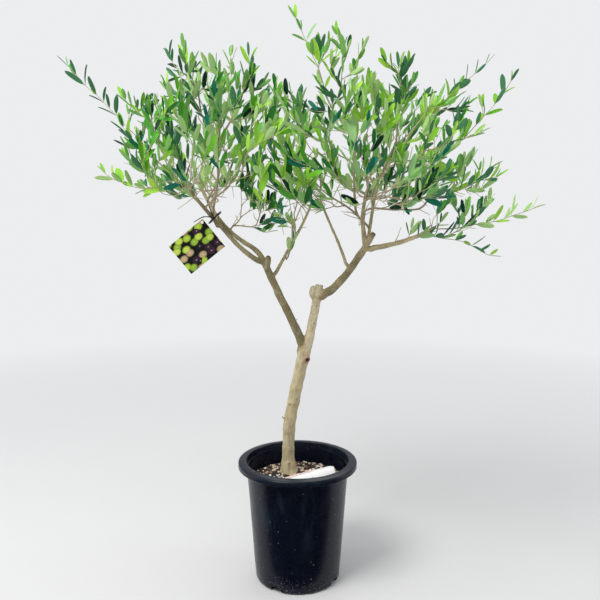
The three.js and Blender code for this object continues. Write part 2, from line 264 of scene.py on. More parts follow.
def trace(points):
    """In edit mode, draws a line of edges through the points by extruding one vertex."""
    clear_selection()
    bpy.ops.mesh.primitive_plane_add(size=MM)
    bpy.ops.object.mode_set(mode="EDIT")
    bpy.ops.mesh.select_all(action="SELECT")
    bpy.ops.mesh.merge(type="CENTER")
    bpy.ops.transform.translate(value=points[0])
    for start, end in zip(points, points[1:]):
        bpy.ops.mesh.extrude_vertices_move(TRANSFORM_OT_translate={"value": end - start})
    return bpy.context.object


def lathe(name, profile, steps):
    """Spins a profile of (radius, height) pairs that starts and ends on the axis, or closes."""
    obj = trace([Vector((radius, 0, height)) for radius, height in profile])
    bpy.ops.mesh.select_all(action="SELECT")
    bpy.ops.mesh.spin(steps=steps, angle=2 * math.pi, center=(0, 0, 0), axis=(0, 0, 1))
    bpy.ops.mesh.select_all(action="SELECT")
    bpy.ops.mesh.remove_doubles(threshold=0.01 * MM)
    bpy.ops.mesh.normals_make_consistent(inside=False)
    bpy.ops.object.mode_set(mode="OBJECT")
    return settle(obj, name)


def arc(centre, radius, start, end, steps):
    """Points of an arc in a profile, with angles in degrees."""
    angles = [math.radians(start + (end - start) * i / steps) for i in range(steps + 1)]
    return [(centre[0] + radius * math.cos(a), centre[1] + radius * math.sin(a)) for a in angles]


def mesh_from_arrays(name, points, faces, material_index=None, smooth_faces=True):
    """A mesh object from an array of points and an array of faces of one size."""
    points = np.asarray(points, np.float32)
    faces = np.asarray(faces, np.int32)
    count, corners = faces.shape
    mesh = bpy.data.meshes.new(name)
    mesh.vertices.add(len(points))
    mesh.vertices.foreach_set("co", points.ravel())
    mesh.loops.add(count * corners)
    mesh.loops.foreach_set("vertex_index", faces.ravel())
    mesh.polygons.add(count)
    mesh.polygons.foreach_set("loop_start", np.arange(0, count * corners, corners, dtype=np.int32))
    mesh.polygons.foreach_set("use_smooth", np.full(count, smooth_faces))
    if material_index is not None:
        mesh.polygons.foreach_set("material_index", np.asarray(material_index, np.int32))
    mesh.update(calc_edges=True)
    mesh.validate()
    obj = bpy.data.objects.new(name, mesh)
    bpy.context.scene.collection.objects.link(obj)
    return obj


# ------------------------------------------------------------------ material helpers


def new_material(name, **values):
    """A material with one Principled shader whose sockets hold these values."""
    material = bpy.data.materials.new(name)
    material.use_nodes = True
    shader = material.node_tree.nodes["Principled BSDF"]
    for key, value in values.items():
        socket = shader.inputs[key.replace("_", " ")]
        socket.default_value = (*value, 1) if isinstance(value, (tuple, list)) else value
    return material, material.node_tree, shader


def add_node(tree, kind, inputs=None, **values):
    """Adds a node, sets its properties, and sets or links its inputs."""
    node = tree.nodes.new(kind)
    for key, value in values.items():
        setattr(node, key, value)
    for key, value in (inputs or {}).items():
        if isinstance(value, bpy.types.NodeSocket):
            tree.links.new(value, node.inputs[key])
        else:
            node.inputs[key].default_value = value
    return node


def maths(tree, operation, a, b=0.0, clamp=False):
    """The value of a Math node."""
    node = add_node(tree, "ShaderNodeMath", {0: a, 1: b}, operation=operation, use_clamp=clamp)
    return node.outputs[0]


def ranged(tree, value, low, high, to_low=0.0, to_high=1.0):
    """value, moved from one range to another and kept inside it."""
    node = add_node(tree, "ShaderNodeMapRange",
                    {"Value": value, "From Min": low, "From Max": high,
                     "To Min": to_low, "To Max": to_high})
    return node.outputs["Result"]


def mixed(tree, factor, a, b):
    """A mix of two colours."""
    node = tree.nodes.new("ShaderNodeMix")
    node.data_type = "RGBA"
    for socket, value in ((node.inputs[0], factor), (node.inputs[6], a), (node.inputs[7], b)):
        if isinstance(value, bpy.types.NodeSocket):
            tree.links.new(value, socket)
        elif isinstance(value, (tuple, list)) or hasattr(value, "r"):
            socket.default_value = (*tuple(value)[:3], 1)
        else:
            socket.default_value = value
    return node.outputs[2]


def object_place(tree):
    """Object coordinates."""
    return add_node(tree, "ShaderNodeTexCoord").outputs["Object"]


def noise_value(tree, vector, scale, detail=3.0, roughness=0.55):
    """The value of a Noise node."""
    node = add_node(tree, "ShaderNodeTexNoise",
                    {"Vector": vector, "Scale": scale, "Detail": detail, "Roughness": roughness})
    return node.outputs["Fac"]


def stretched(tree, vector, scale):
    """A vector scaled along its axes."""
    return add_node(tree, "ShaderNodeMapping", {"Vector": vector, "Scale": scale}).outputs[0]


def bump(tree, shader, height, strength, distance):
    """Feeds the shader's normal from a height."""
    node = add_node(tree, "ShaderNodeBump",
                    {"Height": height, "Strength": strength, "Distance": distance})
    tree.links.new(node.outputs[0], shader.inputs["Normal"])


def feed(tree, shader, **sockets):
    """Links values to the shader's sockets."""
    for key, value in sockets.items():
        tree.links.new(value, shader.inputs[key.replace("_", " ")])


def new_group(name, sockets):
    """A node group with (name, kind, in_out, default) sockets, and its input and output nodes."""
    tree = bpy.data.node_groups.new(name, "ShaderNodeTree")
    for label, kind, way, default in sockets:
        socket = tree.interface.new_socket(name=label, in_out=way, socket_type=kind)
        if default is not None:
            socket.default_value = default
    return tree, add_node(tree, "NodeGroupInput"), add_node(tree, "NodeGroupOutput")


def specks_group():
    """Scattered round specks of dust, grains or pores, as a mask from 0 to 1."""
    if "Specks" in bpy.data.node_groups:
        return bpy.data.node_groups["Specks"]
    tree, given, result = new_group("Specks", (
        ("Vector", "NodeSocketVector", "INPUT", None),
        ("Scale", "NodeSocketFloat", "INPUT", 300.0),
        ("Amount", "NodeSocketFloat", "INPUT", 0.3),
        ("Mask", "NodeSocketFloat", "OUTPUT", None),
    ))
    cells = add_node(tree, "ShaderNodeTexVoronoi",
                     {"Vector": given.outputs["Vector"], "Scale": given.outputs["Scale"]})
    red = add_node(tree, "ShaderNodeSeparateColor", {"Color": cells.outputs["Color"]}).outputs[0]
    chosen = maths(tree, "LESS_THAN", red, given.outputs["Amount"])
    size = maths(tree, "MULTIPLY_ADD", red, 0.5)
    near = ranged(tree, cells.outputs["Distance"], 0.16, 0.34, 1.0, 0.0)
    masked = maths(tree, "MULTIPLY", near, chosen)
    faded = maths(tree, "MULTIPLY", masked, maths(tree, "SUBTRACT", 1.0, size))
    tree.links.new(faded, result.inputs["Mask"])
    return tree


def mottle_group():
    """Two sizes of soft mottling, as a value from 0 to 1."""
    if "Mottle" in bpy.data.node_groups:
        return bpy.data.node_groups["Mottle"]
    tree, given, result = new_group("Mottle", (
        ("Vector", "NodeSocketVector", "INPUT", None),
        ("Scale", "NodeSocketFloat", "INPUT", 40.0),
        ("Contrast", "NodeSocketFloat", "INPUT", 0.5),
        ("Value", "NodeSocketFloat", "OUTPUT", None),
    ))
    broad = add_node(tree, "ShaderNodeTexNoise",
                     {"Vector": given.outputs["Vector"], "Scale": given.outputs["Scale"],
                      "Detail": 4.0, "Roughness": 0.6}).outputs["Fac"]
    fine_scale = maths(tree, "MULTIPLY", given.outputs["Scale"], 5.3)
    fine = add_node(tree, "ShaderNodeTexNoise",
                    {"Vector": given.outputs["Vector"], "Scale": fine_scale, "Detail": 3.0}).outputs["Fac"]
    both = maths(tree, "ADD", maths(tree, "MULTIPLY", broad, 0.7), maths(tree, "MULTIPLY", fine, 0.3))
    low = maths(tree, "ADD", maths(tree, "MULTIPLY", given.outputs["Contrast"], -0.5), 0.5)
    high = maths(tree, "SUBTRACT", 1.0, low)
    node = add_node(tree, "ShaderNodeMapRange", {"Value": both, "From Min": low, "From Max": high})
    tree.links.new(node.outputs["Result"], result.inputs["Value"])
    return tree


def use_group(tree, group, **inputs):
    """Places a node group and gives its first output."""
    return add_node(tree, "ShaderNodeGroup", inputs, node_tree=group).outputs[0]


# ------------------------------------------------------------------ reading the frame


def mesh_arrays(node):
    """The points and triangles of a CAD node, with shared corners merged."""
    mesh = bmesh.new()
    mesh.from_mesh(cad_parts[node].data)
    bmesh.ops.remove_doubles(mesh, verts=mesh.verts, dist=0.005 * MM)
    bmesh.ops.triangulate(mesh, faces=mesh.faces)
    points = np.array([v.co for v in mesh.verts])
    faces = np.array([[v.index for v in f.verts] for f in mesh.faces])
    mesh.free()
    return points, faces


def section(points, faces, origin, normal):
    """The corners of a solid's outline where a plane cuts it, or None."""
    side = (points - origin) @ normal
    cuts = []
    for a, b in ((0, 1), (1, 2), (2, 0)):
        first, second = side[faces[:, a]], side[faces[:, b]]
        crossed = (first < 0) != (second < 0)
        share = (first / np.where(crossed, first - second, 1))[crossed, None]
        start, end = points[faces[crossed, a]], points[faces[crossed, b]]
        cuts.append(start + share * (end - start))
    cuts = np.vstack(cuts)
    return cuts if len(cuts) > 5 else None


def centre_line(node, near, stations):
    """Points and radii along the middle of a node's solid, from its end nearest to near."""
    points, faces = mesh_arrays(node)
    middle = points.mean(0)
    axis = np.linalg.svd(points - middle)[2][0]
    along = (points - middle) @ axis
    ends = [points[along.argmin()], points[along.argmax()]]
    if np.linalg.norm(ends[0] - near) > np.linalg.norm(ends[1] - near):
        axis, along = -axis, -along
    low, high = along.min(), along.max()
    line, outlines = [], []
    for share in np.linspace(0.03, 0.97, stations):
        cuts = section(points, faces, middle + axis * (low + share * (high - low)), axis)
        if cuts is not None:
            line.append((cuts.min(0) + cuts.max(0)) / 2)
            outlines.append(cuts)
    line = np.array(line)
    slopes = np.gradient(line, axis=0)
    slopes /= np.linalg.norm(slopes, axis=1)[:, None]
    radii = []
    for centre, slope, cuts in zip(line, slopes, outlines):
        spoke = cuts - centre
        spoke -= (spoke @ slope)[:, None] * slope
        radii.append(np.linalg.norm(spoke, axis=1).mean())
    return [Vector(p) for p in line], radii


def resample(line, radii, step):
    """The same line with a point every step, along a smooth curve."""
    line = [Vector(p) for p in line]
    lengths = [0.0]
    for a, b in zip(line, line[1:]):
        lengths.append(lengths[-1] + (b - a).length)
    count = max(3, round(lengths[-1] / step))
    new_line, new_radii = [], []
    for i in range(count + 1):
        at = lengths[-1] * i / count
        k = min(max(1, np.searchsorted(lengths, at)), len(line) - 1)
        share = (at - lengths[k - 1]) / max(lengths[k] - lengths[k - 1], 1e-9)
        before, after = line[max(k - 2, 0)], line[min(k + 1, len(line) - 1)]
        start, end = line[k - 1], line[k]
        pull = 0.5 * (end - start).length / max((end - before).length, 1e-9)
        push = 0.5 * (end - start).length / max((after - start).length, 1e-9)
        handle_a, handle_b = (end - before) * pull, (after - start) * push
        square, cube = share * share, share ** 3
        point = (start * (2 * cube - 3 * square + 1) + handle_a * 2 * (cube - 2 * square + share)
                 + end * (3 * square - 2 * cube) + handle_b * 2 * (cube - square))
        new_line.append(point)
        new_radii.append(radii[k - 1] + share * (radii[k] - radii[k - 1]))
    return new_line, new_radii


LIMB_STEP = 4 * MM
LIMB_STATIONS = 12  # places where each limb's thickness is read


def read_limbs():
    """Each limb's line and radii, from inside its parent to its tip."""
    limbs = {}
    for name, parent in LIMB_PARENTS.items():
        if parent is None:
            near = Vector((0, 0, 0))
        else:
            box_low, box_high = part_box(name)
            middle = (box_low + box_high) / 2
            near = min(limbs[parent][0], key=lambda p: (p - middle).length)
        line, radii = centre_line(name, np.array(near), LIMB_STATIONS)
        if parent is None:
            line.insert(0, Vector((line[0].x, line[0].y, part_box(name)[0].z)))
            radii.insert(0, radii[0] * 1.08)
        else:
            start = min(limbs[parent][0], key=lambda p: (p - line[0]).length)
            line[0] = line[0].lerp(line[1], 0.4)
            line.insert(0, start)
            radii[0] = radii[1]
            radii.insert(0, radii[0])
        end = line[-1] - line[-2]
        line.append(line[-1] + end.normalized() * end.length * 0.35)
        radii.append(radii[-1])
        limbs[name] = resample(line, radii, LIMB_STEP)
    return limbs


LIMBS = read_limbs()


# ------------------------------------------------------------------ bark

KNOTS = (  # place on the bark, size and kind
    (Vector((18.5, -9.5, 455.5)) * MM, 6.4 * MM, "ring"),
    (Vector((-16.5, 1.0, 362.0)) * MM, 2.2 * MM, "scar"),
    (Vector((-1.5, -0.5, 373.0)) * MM, 2.0 * MM, "scar"),
    (Vector((32.5, -7.5, 528.0)) * MM, 2.1 * MM, "scar"),
    (Vector((26.0, -7.0, 560.0)) * MM, 1.6 * MM, "scar"),
    (Vector((-18.0, 4.5, 236.0)) * MM, 2.4 * MM, "scar"),
)
SWELLINGS = (  # place and radius of the full collars where limbs part
    (Vector((12.0, 0.0, 468.0)) * MM, 13.5 * MM),
    (Vector((31.0, -2.0, 588.0)) * MM, 8.2 * MM),
)
SPURS = (  # foot, tip and radius of short dry twigs left on the bark
    (Vector((-22.0, 12.0, 322.0)) * MM, Vector((-31.5, 8.0, 334.0)) * MM, 1.7 * MM),
    (Vector((-8.0, -4.0, 528.0)) * MM, Vector((1.0, -9.0, 538.0)) * MM, 1.5 * MM),
    (Vector((5.0, -6.0, 500.0)) * MM, Vector((3.0, -11.5, 506.0)) * MM, 1.8 * MM),
)
GRAIN_SHIFT = 0.37  # how far apart the limbs lie in the grain, so that no two look alike
BARK_SEED = 11
TONES = {  # how pale each limb's bark is
    "trunk": 0.62, "leader": 1.0, "left_main_bough": 0.08, "right_main_bough": 0.2,
    "left_outer_bough": 0.3, "left_inner_bough": 0.35, "left_upright_branch": 0.5,
    "left_sawn_stub": 0.3, "right_front_branch": 0.35, "right_back_branch": 0.35,
    "right_outer_bough": 0.5, "right_inner_branch": 0.55, "right_sawn_stub": 0.3,
}


def tube(line, radii, sides=4):
    """A closed round tube along a line, as a mesh object."""
    clear_selection()
    bpy.ops.curve.primitive_nurbs_path_add()
    obj = bpy.context.object
    curve = obj.data
    curve.splines.clear()
    curve.dimensions = "3D"
    curve.bevel_depth = 1.0
    curve.bevel_resolution = sides
    curve.use_fill_caps = True
    spline = curve.splines.new("POLY")
    spline.points.add(len(line) - 1)
    for point, place, radius in zip(spline.points, line, radii):
        point.co = (*place, 1)
        point.radius = radius
    bpy.ops.object.convert(target="MESH")
    return bpy.context.object


def limb_tube(name, limb, rng):
    """One limb with swollen joints, a collar at its foot and a root flare on the trunk."""
    line, radii = limb
    shaped, widths = [], []
    next_joint = rng.uniform(10, 30) * MM
    travelled = 0.0
    joints = []
    length = sum((b - a).length for a, b in zip(line, line[1:]))
    while next_joint < length:
        joints.append(next_joint)
        next_joint += rng.uniform(22, 40) * MM
    for i, (point, radius) in enumerate(zip(line, radii)):
        if i:
            travelled += (point - line[i - 1]).length
        swell = sum(0.075 * math.exp(-((travelled - j) / (5 * MM)) ** 2) for j in joints)
        if name == "trunk":
            above = max(0.0, point.z - line[0].z)
            swell += 0.16 * math.exp(-above / (9 * MM))
        else:
            swell += 0.24 * math.exp(-travelled / (16 * MM))
        wobble = noise.noise_vector(point * 38) * radius * 0.07
        if i in (0, len(line) - 1):
            wobble = Vector((0, 0, 0))
        shaped.append(point + wobble)
        widths.append(radius * (1 + swell))
    return tube(shaped, widths)


def knot(place, size, kind):
    """A raised ring round a healed cut, or a small lump."""
    nearest = min((p for line, _ in LIMBS.values() for p in line), key=lambda p: (p - place).length)
    outward = (place - nearest).normalized()
    turn = outward.to_track_quat("Z", "Y").to_euler()
    clear_selection()
    if kind == "ring":
        bpy.ops.mesh.primitive_torus_add(location=place, rotation=turn, major_radius=size * 0.8,
                                         minor_radius=size * 0.42, major_segments=20, minor_segments=10)
    else:
        bpy.ops.mesh.primitive_uv_sphere_add(segments=14, ring_count=8, radius=size, location=place,
                                             rotation=turn, scale=(1, 1, 0.7))
    obj = bpy.context.object
    bpy.ops.object.transform_apply(location=True, rotation=True, scale=True)
    return obj


def swelling(place, size):
    """A smooth egg-shaped collar round a fork."""
    clear_selection()
    bpy.ops.mesh.primitive_uv_sphere_add(segments=24, ring_count=14, radius=size, location=place,
                                         scale=(1, 0.85, 1.7))
    obj = bpy.context.object
    bpy.ops.object.transform_apply(location=True, rotation=True, scale=True)
    return obj


def limb_samples():
    """Every limb point with its limb's name and the distance from its foot."""
    rows = []
    for name, (line, _) in LIMBS.items():
        travelled = 0.0
        for i, point in enumerate(line):
            if i:
                travelled += (point - line[i - 1]).length
            rows.append((point, name, travelled))
    return rows


def write_grain(obj):
    """Stores where each point lies along and around its limb, and how pale the bark is there."""
    rows = limb_samples()
    tree = KDTree(len(rows))
    for i, (point, _, _) in enumerate(rows):
        tree.insert(point, i)
    tree.balance()
    names = list(LIMBS)
    obj.data.attributes.new("grain", "FLOAT_VECTOR", "POINT")
    obj.data.attributes.new("tone", "FLOAT", "POINT")
    grains, tones = [], []
    for vertex in obj.data.vertices:
        found = tree.find_n(vertex.co, 6)
        centre, index, _ = found[0]
        name, travelled = rows[index][1], rows[index][2]
        spoke = vertex.co - centre
        shift = names.index(name) * GRAIN_SHIFT
        grains.extend((spoke.x + shift, spoke.y, spoke.z * 0.25 + travelled * 0.2))
        weights = [1 / (distance + 1e-4) ** 2 for _, _, distance in found]
        values = [TONES[rows[k][1]] for _, k, _ in found]
        tones.append(sum(w * v for w, v in zip(weights, values)) / sum(weights))
    obj.data.attributes["grain"].data.foreach_set("vector", grains)
    obj.data.attributes["tone"].data.foreach_set("value", tones)


def relief(obj, settings):
    """Moves the bark out and in by lumps and by fine ridges that follow each limb."""
    mesh = obj.data
    grains = [a.vector.copy() for a in mesh.attributes["grain"].data]
    normals = [v.normal.copy() for v in mesh.vertices]
    for vertex, grain, normal in zip(mesh.vertices, grains, normals):
        lump = noise.noise(vertex.co * 85) * 0.6 + noise.noise(vertex.co * 190) * 0.4
        ridge = noise.fractal(Vector((grain.x * 520, grain.y * 520, grain.z * 420)), 1.0, 2.0, 3)
        share = min(1.0, max(0.25, (grain.to_2d().length % GRAIN_SHIFT) * 80))
        vertex.co += normal * (lump * settings.lumps * 0.55 + ridge * settings.ridges) * share
    mesh.update()


def bark_material(settings):
    """Smooth grey-tan bark with streaks along the limbs, pores, green-brown boughs and scars."""
    material, tree, shader = new_material("olive_bark", Roughness=0.8)
    place = object_place(tree)
    grain = add_node(tree, "ShaderNodeAttribute", attribute_name="grain").outputs["Vector"]
    tone = add_node(tree, "ShaderNodeAttribute", attribute_name="tone").outputs["Fac"]
    mottle = use_group(tree, mottle_group(), Vector=place, Scale=70.0, Contrast=0.55)
    streak = noise_value(tree, grain, 210.0, 4.0)
    patch = noise_value(tree, place, 26.0, 2.0)
    paleness = maths(tree, "ADD", tone, maths(tree, "MULTIPLY", maths(tree, "SUBTRACT", patch, 0.5), 1.1))
    warm = mixed(tree, ranged(tree, paleness, 0.1, 0.55), settings.olive, settings.tan)
    base = mixed(tree, ranged(tree, paleness, 0.45, 1.0), warm, settings.pale)
    streaked = mixed(tree, ranged(tree, streak, 0.42, 0.68, 0.0, 0.42), base, (0.13, 0.10, 0.055))
    washed = mixed(tree, ranged(tree, mottle, 0.5, 0.95, 0.0, 0.45), streaked, (0.58, 0.52, 0.42))
    pores = use_group(tree, specks_group(), Vector=place, Scale=330.0, Amount=0.22)
    colour = mixed(tree, maths(tree, "MULTIPLY", pores, 0.75), washed, (0.10, 0.075, 0.045))
    for spot, size, kind in KNOTS:
        away = add_node(tree, "ShaderNodeVectorMath", {0: place, 1: spot}, operation="DISTANCE")
        core = ranged(tree, away.outputs["Value"], size * 0.35, size * 1.05, 1.0, 0.0)
        if kind == "ring":
            rim = ranged(tree, away.outputs["Value"], size * 1.0, size * 1.9, 0.75, 0.0)
            colour = mixed(tree, rim, colour, (0.36, 0.20, 0.12))
            colour = mixed(tree, core, colour, (0.03, 0.014, 0.008))
        else:
            colour = mixed(tree, maths(tree, "MULTIPLY", core, 0.9), colour, (0.045, 0.03, 0.02))
    for stub in ("left_sawn_stub", "right_sawn_stub"):
        end = LIMBS[stub][0][-1]
        away = add_node(tree, "ShaderNodeVectorMath", {0: place, 1: end}, operation="DISTANCE")
        dry = ranged(tree, away.outputs["Value"], 4 * MM, 12 * MM, 0.8, 0.0)
        colour = mixed(tree, dry, colour, (0.06, 0.04, 0.025))
    height = maths(tree, "ADD", maths(tree, "MULTIPLY", streak, 0.6), maths(tree, "MULTIPLY", mottle, 0.4))
    feed(tree, shader, Base_Color=colour, Roughness=ranged(tree, mottle, 0.0, 1.0, 0.72, 0.92))
    bump(tree, shader, height, 0.5, 0.6 * MM)
    return material


class OLIVE_OT_wood(Operator):
    """Builds the trunk and boughs as one mesh with the bark's relief"""

    bl_idname = "olive.wood"
    bl_label = "Bark"

    def execute(self, context):
        settings = context.scene.olive_wood
        rng = random.Random(BARK_SEED)
        noise.seed_set(BARK_SEED)  # without it the noise vectors start from the clock
        parts = [limb_tube(name, limb, rng) for name, limb in LIMBS.items()]
        parts += [tube([a, a.lerp(b, 0.5), b], [r * 1.3, r, r * 0.7]) for a, b, r in SPURS]
        parts += [knot(*row) for row in KNOTS]
        parts += [swelling(*row) for row in SWELLINGS]
        bark = join(parts)
        apply_modifier(bark, "REMESH", mode="VOXEL", voxel_size=settings.voxel)
        apply_modifier(bark, "SMOOTH", factor=0.5, iterations=3)
        write_grain(bark)
        relief(bark, settings)
        self.flatten_foot(bark)
        settle(bark, "bark")
        smooth(bark, 60)
        finish_piece(bark, "bark", [bark_material(settings)], *LIMB_PARENTS)
        return {"FINISHED"}

    @staticmethod
    def flatten_foot(bark):
        """Keeps the trunk's foot flat where it meets the soil."""
        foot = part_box("trunk")[0].z
        for vertex in bark.data.vertices:
            if vertex.co.z < foot:
                vertex.co.z = foot


# ------------------------------------------------------------------ twigs

TWIG_STEP = 8 * MM
TURN_COST = 1.3  # how dear it is for a shoot to leave its twig at a wide angle
PATH_COST = 0.22  # how dear a long way back to the limb is
DROP_COST = 1.5  # how dear it is to grow downwards
LOW_CROWN = 0.745  # height of the lowest leafy shoots, and the heights that follow from it:
CLOSE_BELOW = LOW_CROWN + 0.08  # under which shoots stand closer
TWIGLETS_BELOW = LOW_CROWN + 0.07  # under which bare twiglets grow
SHADED_BELOW = LOW_CROWN + 0.055  # under which leaves are few and darker, their dark greens being painted shade
OPEN_SIDE = 0.22  # distance to the right past which shoots stand further apart
MOST_MISSES = 160  # draws in a row that find no room, after which a mass is full
LEAF_REACH = 22 * MM  # how far the last leaves stand out past a long shoot

# Long shoots that show through the crown or reach out of it, in millimetres.
GUIDES = (
    ("left_high_tip", ((-244, 0, 815), (-340, 15, 919), (-403, 28, 981), (-456, 38, 1038))),
    ("left_low_tip", ((-252, -10, 792), (-317, -20, 794), (-380, -28, 826))),
    ("left_front_mass", ((-155, -5, 716), (-151, -10, 824), (-148, -12, 894), (-181, -20, 952),
                         (-214, -28, 1040))),
    ("left_back_mass", ((-148, -10, 880), (-108, 0, 958), (-82, 10, 1029))),
    ("centre_low_mass", ((112, 4, 742), (40, 30, 797), (-31, 50, 850))),
    ("centre_right_mass", ((112, -14, 746), (107, -25, 823), (111, -30, 896), (84, -12, 975), (88, 0, 1060))),
    ("right_low_mass", ((128, -16, 747), (195, -20, 750), (252, -30, 752))),
    ("crown_tip", ((80, -10, 917), (33, -15, 1025), (-13, -20, 1116))),
    ("right_crown_mass", ((146, 20, 780), (190, 10, 880), (196, 0, 960), (188, 0, 1036))),
    ("right_high_tip", ((196, 0, 880), (288, 0, 964), (370, 0, 1034))),
    ("right_upper_tip", ((290, -5, 862), (362, -10, 935), (412, -10, 1004))),
    ("right_outer_mass", ((255, -6, 776), (332, 0, 796), (384, 0, 838))),
    ("right_far_tip", ((268, -24, 712), (366, -25, 726), (462, -30, 756))),
    ("right_low_tip", ((250, -22, 700), (321, -20, 688), (388, -20, 652))),
    ("low_sprig", ((-22, 6, 652), (-14, 4, 672), (-6, 8, 690))),
)
SLENDER = ("left_high_tip", "left_low_tip", "crown_tip", "right_high_tip", "right_upper_tip",
           "right_far_tip", "right_low_tip", "low_sprig")


class Twigs:
    """A growing network of twig points: places, headings, the point before, the way to the limb."""

    def __init__(self):
        self.points, self.headings, self.before, self.way, self.node = [], [], [], [], []

    def add(self, point, heading, before, node):
        """Adds a point after another one. Returns its number."""
        way = 0.0 if before < 0 else self.way[before] + (point - self.points[before]).length
        self.points.append(Vector(point))
        self.headings.append(Vector(heading).normalized())
        self.before.append(before)
        self.way.append(way)
        self.node.append(node)
        return len(self.points) - 1

    def best_start(self, goal, least=0.0):
        """The point from which a shoot reaches goal by the shortest and straightest way."""
        points, headings = np.array(self.points), np.array(self.headings)
        way = np.array(goal) - points
        distance = np.linalg.norm(way, axis=1)
        bend = 1 - (way * headings).sum(1) / np.maximum(distance, 1e-6)
        drop = np.maximum(0, points[:, 2] - goal.z)
        cost = distance * (1 + TURN_COST * bend ** 2) + DROP_COST * drop
        cost += PATH_COST * np.array(self.way)
        cost[distance < least] = 9
        return int(cost.argmin())

    def grow(self, start, goal, node, rng, lift=0.55):
        """Grows a gently bent shoot to goal that turns upwards at its end. Returns its last point."""
        origin, heading = self.points[start], self.headings[start]
        reach = (goal - origin).length
        straight = (goal - origin).normalized()
        out = (heading * 0.55 + straight * 0.75).normalized()
        end = (straight + UP * lift + Vector([rng.uniform(-0.2, 0.2) for _ in range(3)])).normalized()
        first, second = origin + out * reach * 0.36, goal - end * reach * 0.34
        count = max(2, round(reach / TWIG_STEP))
        last = start
        for i in range(1, count + 1):
            t = i / count
            u = 1 - t
            point = origin * u ** 3 + first * 3 * u * u * t + second * 3 * u * t * t + goal * t ** 3
            point = point + noise.noise_vector(point * 40) * 1.4 * MM
            last = self.add(point, point - self.points[last], last, node)
        return last


def inside(tree, point):
    """True if a point lies in a closed mesh."""
    direction = Vector((0.31, 0.22, 0.93)).normalized()
    hits, origin = 0, point
    while hits < 20:
        place, _, _, _ = tree.ray_cast(origin, direction)
        if place is None:
            break
        hits += 1
        origin = place + direction * 1e-5
    return hits % 2 == 1


def goals_in(node, gap, taken, rng):
    """Random points in a mass, none closer than gap to another one."""
    points, faces = mesh_arrays(node)
    tree = BVHTree.FromPolygons([Vector(p) for p in points], [tuple(int(i) for i in f) for f in faces])
    low, high = points.min(0), points.max(0)
    misses = 0
    while misses < MOST_MISSES:
        point = Vector([rng.uniform(a, b) for a, b in zip(low, high)])
        own_gap = gap * (1.0 if point.z > CLOSE_BELOW else 0.80)
        if lobe_of(node) == "left":
            own_gap *= 1.06
        elif point.x > OPEN_SIDE:
            own_gap *= 1.14
        near = any((point - other).length_squared < own_gap ** 2 for other, _ in taken)
        if near or not inside(tree, point):
            misses += 1
            continue
        taken.append((point, node))
        misses = 0


def grow_crown(settings):
    """Grows the twigs out of the limbs and through every mass."""
    rng = random.Random(settings.seed)
    noise.seed_set(settings.seed)  # without it the noise vectors start from the clock
    twigs = Twigs()
    for name, first in TWIG_BEARERS.items():
        line = LIMBS[name][0]
        last = -1
        for i in range(int(first * (len(line) - 1)), len(line), 2):
            heading = line[min(i + 1, len(line) - 1)] - line[max(i - 1, 0)]
            last = twigs.add(line[i], heading, last, name)
    for node, stops in GUIDES:
        places = [Vector(stop) * MM for stop in stops]
        last = twigs.best_start(places[0])
        end = places[-1] - places[-2]
        places[-1] = places[-2] + end * max(0.6, 1 - LEAF_REACH / end.length)
        for place in places:
            last = twigs.grow(last, place, node, rng, lift=0.1)
    stems = [Vector(p) for p in twigs.points]
    goals = []
    for node in LEAF_NODES:
        if node not in SLENDER:
            goals_in(node, settings.shoot_gap, goals, rng)
    goals.sort(key=lambda row: min((row[0] - p).length_squared for p in stems))
    for goal, node in goals:
        twigs.grow(twigs.best_start(goal, 12 * MM), goal, node, rng)
    return twigs


def chains_of(twigs):
    """Splits the network into chains: from each tip back to a point that is already taken."""
    has_child = [False] * len(twigs.points)
    for before in twigs.before:
        if before >= 0:
            has_child[before] = True
    tips = [i for i, child in enumerate(has_child) if not child and twigs.before[i] >= 0]
    tips.sort(key=lambda i: -twigs.way[i])
    taken, chains = set(), []
    for tip in tips:
        chain = [tip]
        while twigs.before[chain[-1]] >= 0 and chain[-1] not in taken:
            taken.add(chain[-1])
            chain.append(twigs.before[chain[-1]])
        chain = [i for i in reversed(chain)]
        if len(chain) > 1 and twigs.node[chain[-1]] not in LIMBS:
            chains.append(chain)
    return chains


def twig_radii(twigs, tip):
    """Radius at each twig point: a twig is as thick as the twigs it carries together."""
    load = np.zeros(len(twigs.points))
    children = [0] * len(twigs.points)
    for i in range(len(twigs.points) - 1, -1, -1):
        if children[i] == 0:
            load[i] = tip ** 2.4
        load[i] += (0.1 * MM) ** 2.4
        if twigs.before[i] >= 0:
            load[twigs.before[i]] += load[i]
            children[twigs.before[i]] += 1
    return np.minimum(load ** (1 / 2.4), 2.5 * MM)


def bare_twiglets(twigs, chains, radii, rng):
    """Short bare twigs low in the crown, as lines with their radii."""
    made = []
    for chain in chains:
        for i in chain[1:]:
            here = twigs.points[i]
            if here.z > TWIGLETS_BELOW or twigs.node[i] in SLENDER or rng.random() > 0.24:
                continue
            side = Vector([rng.gauss(0, 1) for _ in range(3)]).normalized()
            heading = (twigs.headings[i] * 0.6 + side * 0.9 + UP * 0.25).normalized()
            reach = rng.uniform(14, 42) * MM
            bent = (heading + Vector([rng.gauss(0, 0.16) for _ in range(3)])).normalized()
            line = [here, here + heading * reach * 0.5, here + (heading + bent) * reach * 0.5]
            thick = min(radii[i], 0.8 * MM)
            made.append((line, [thick, thick * 0.85, thick * 0.6], lobe_of(twigs.node[i])))
    return made


TWIG_SIDES = 6


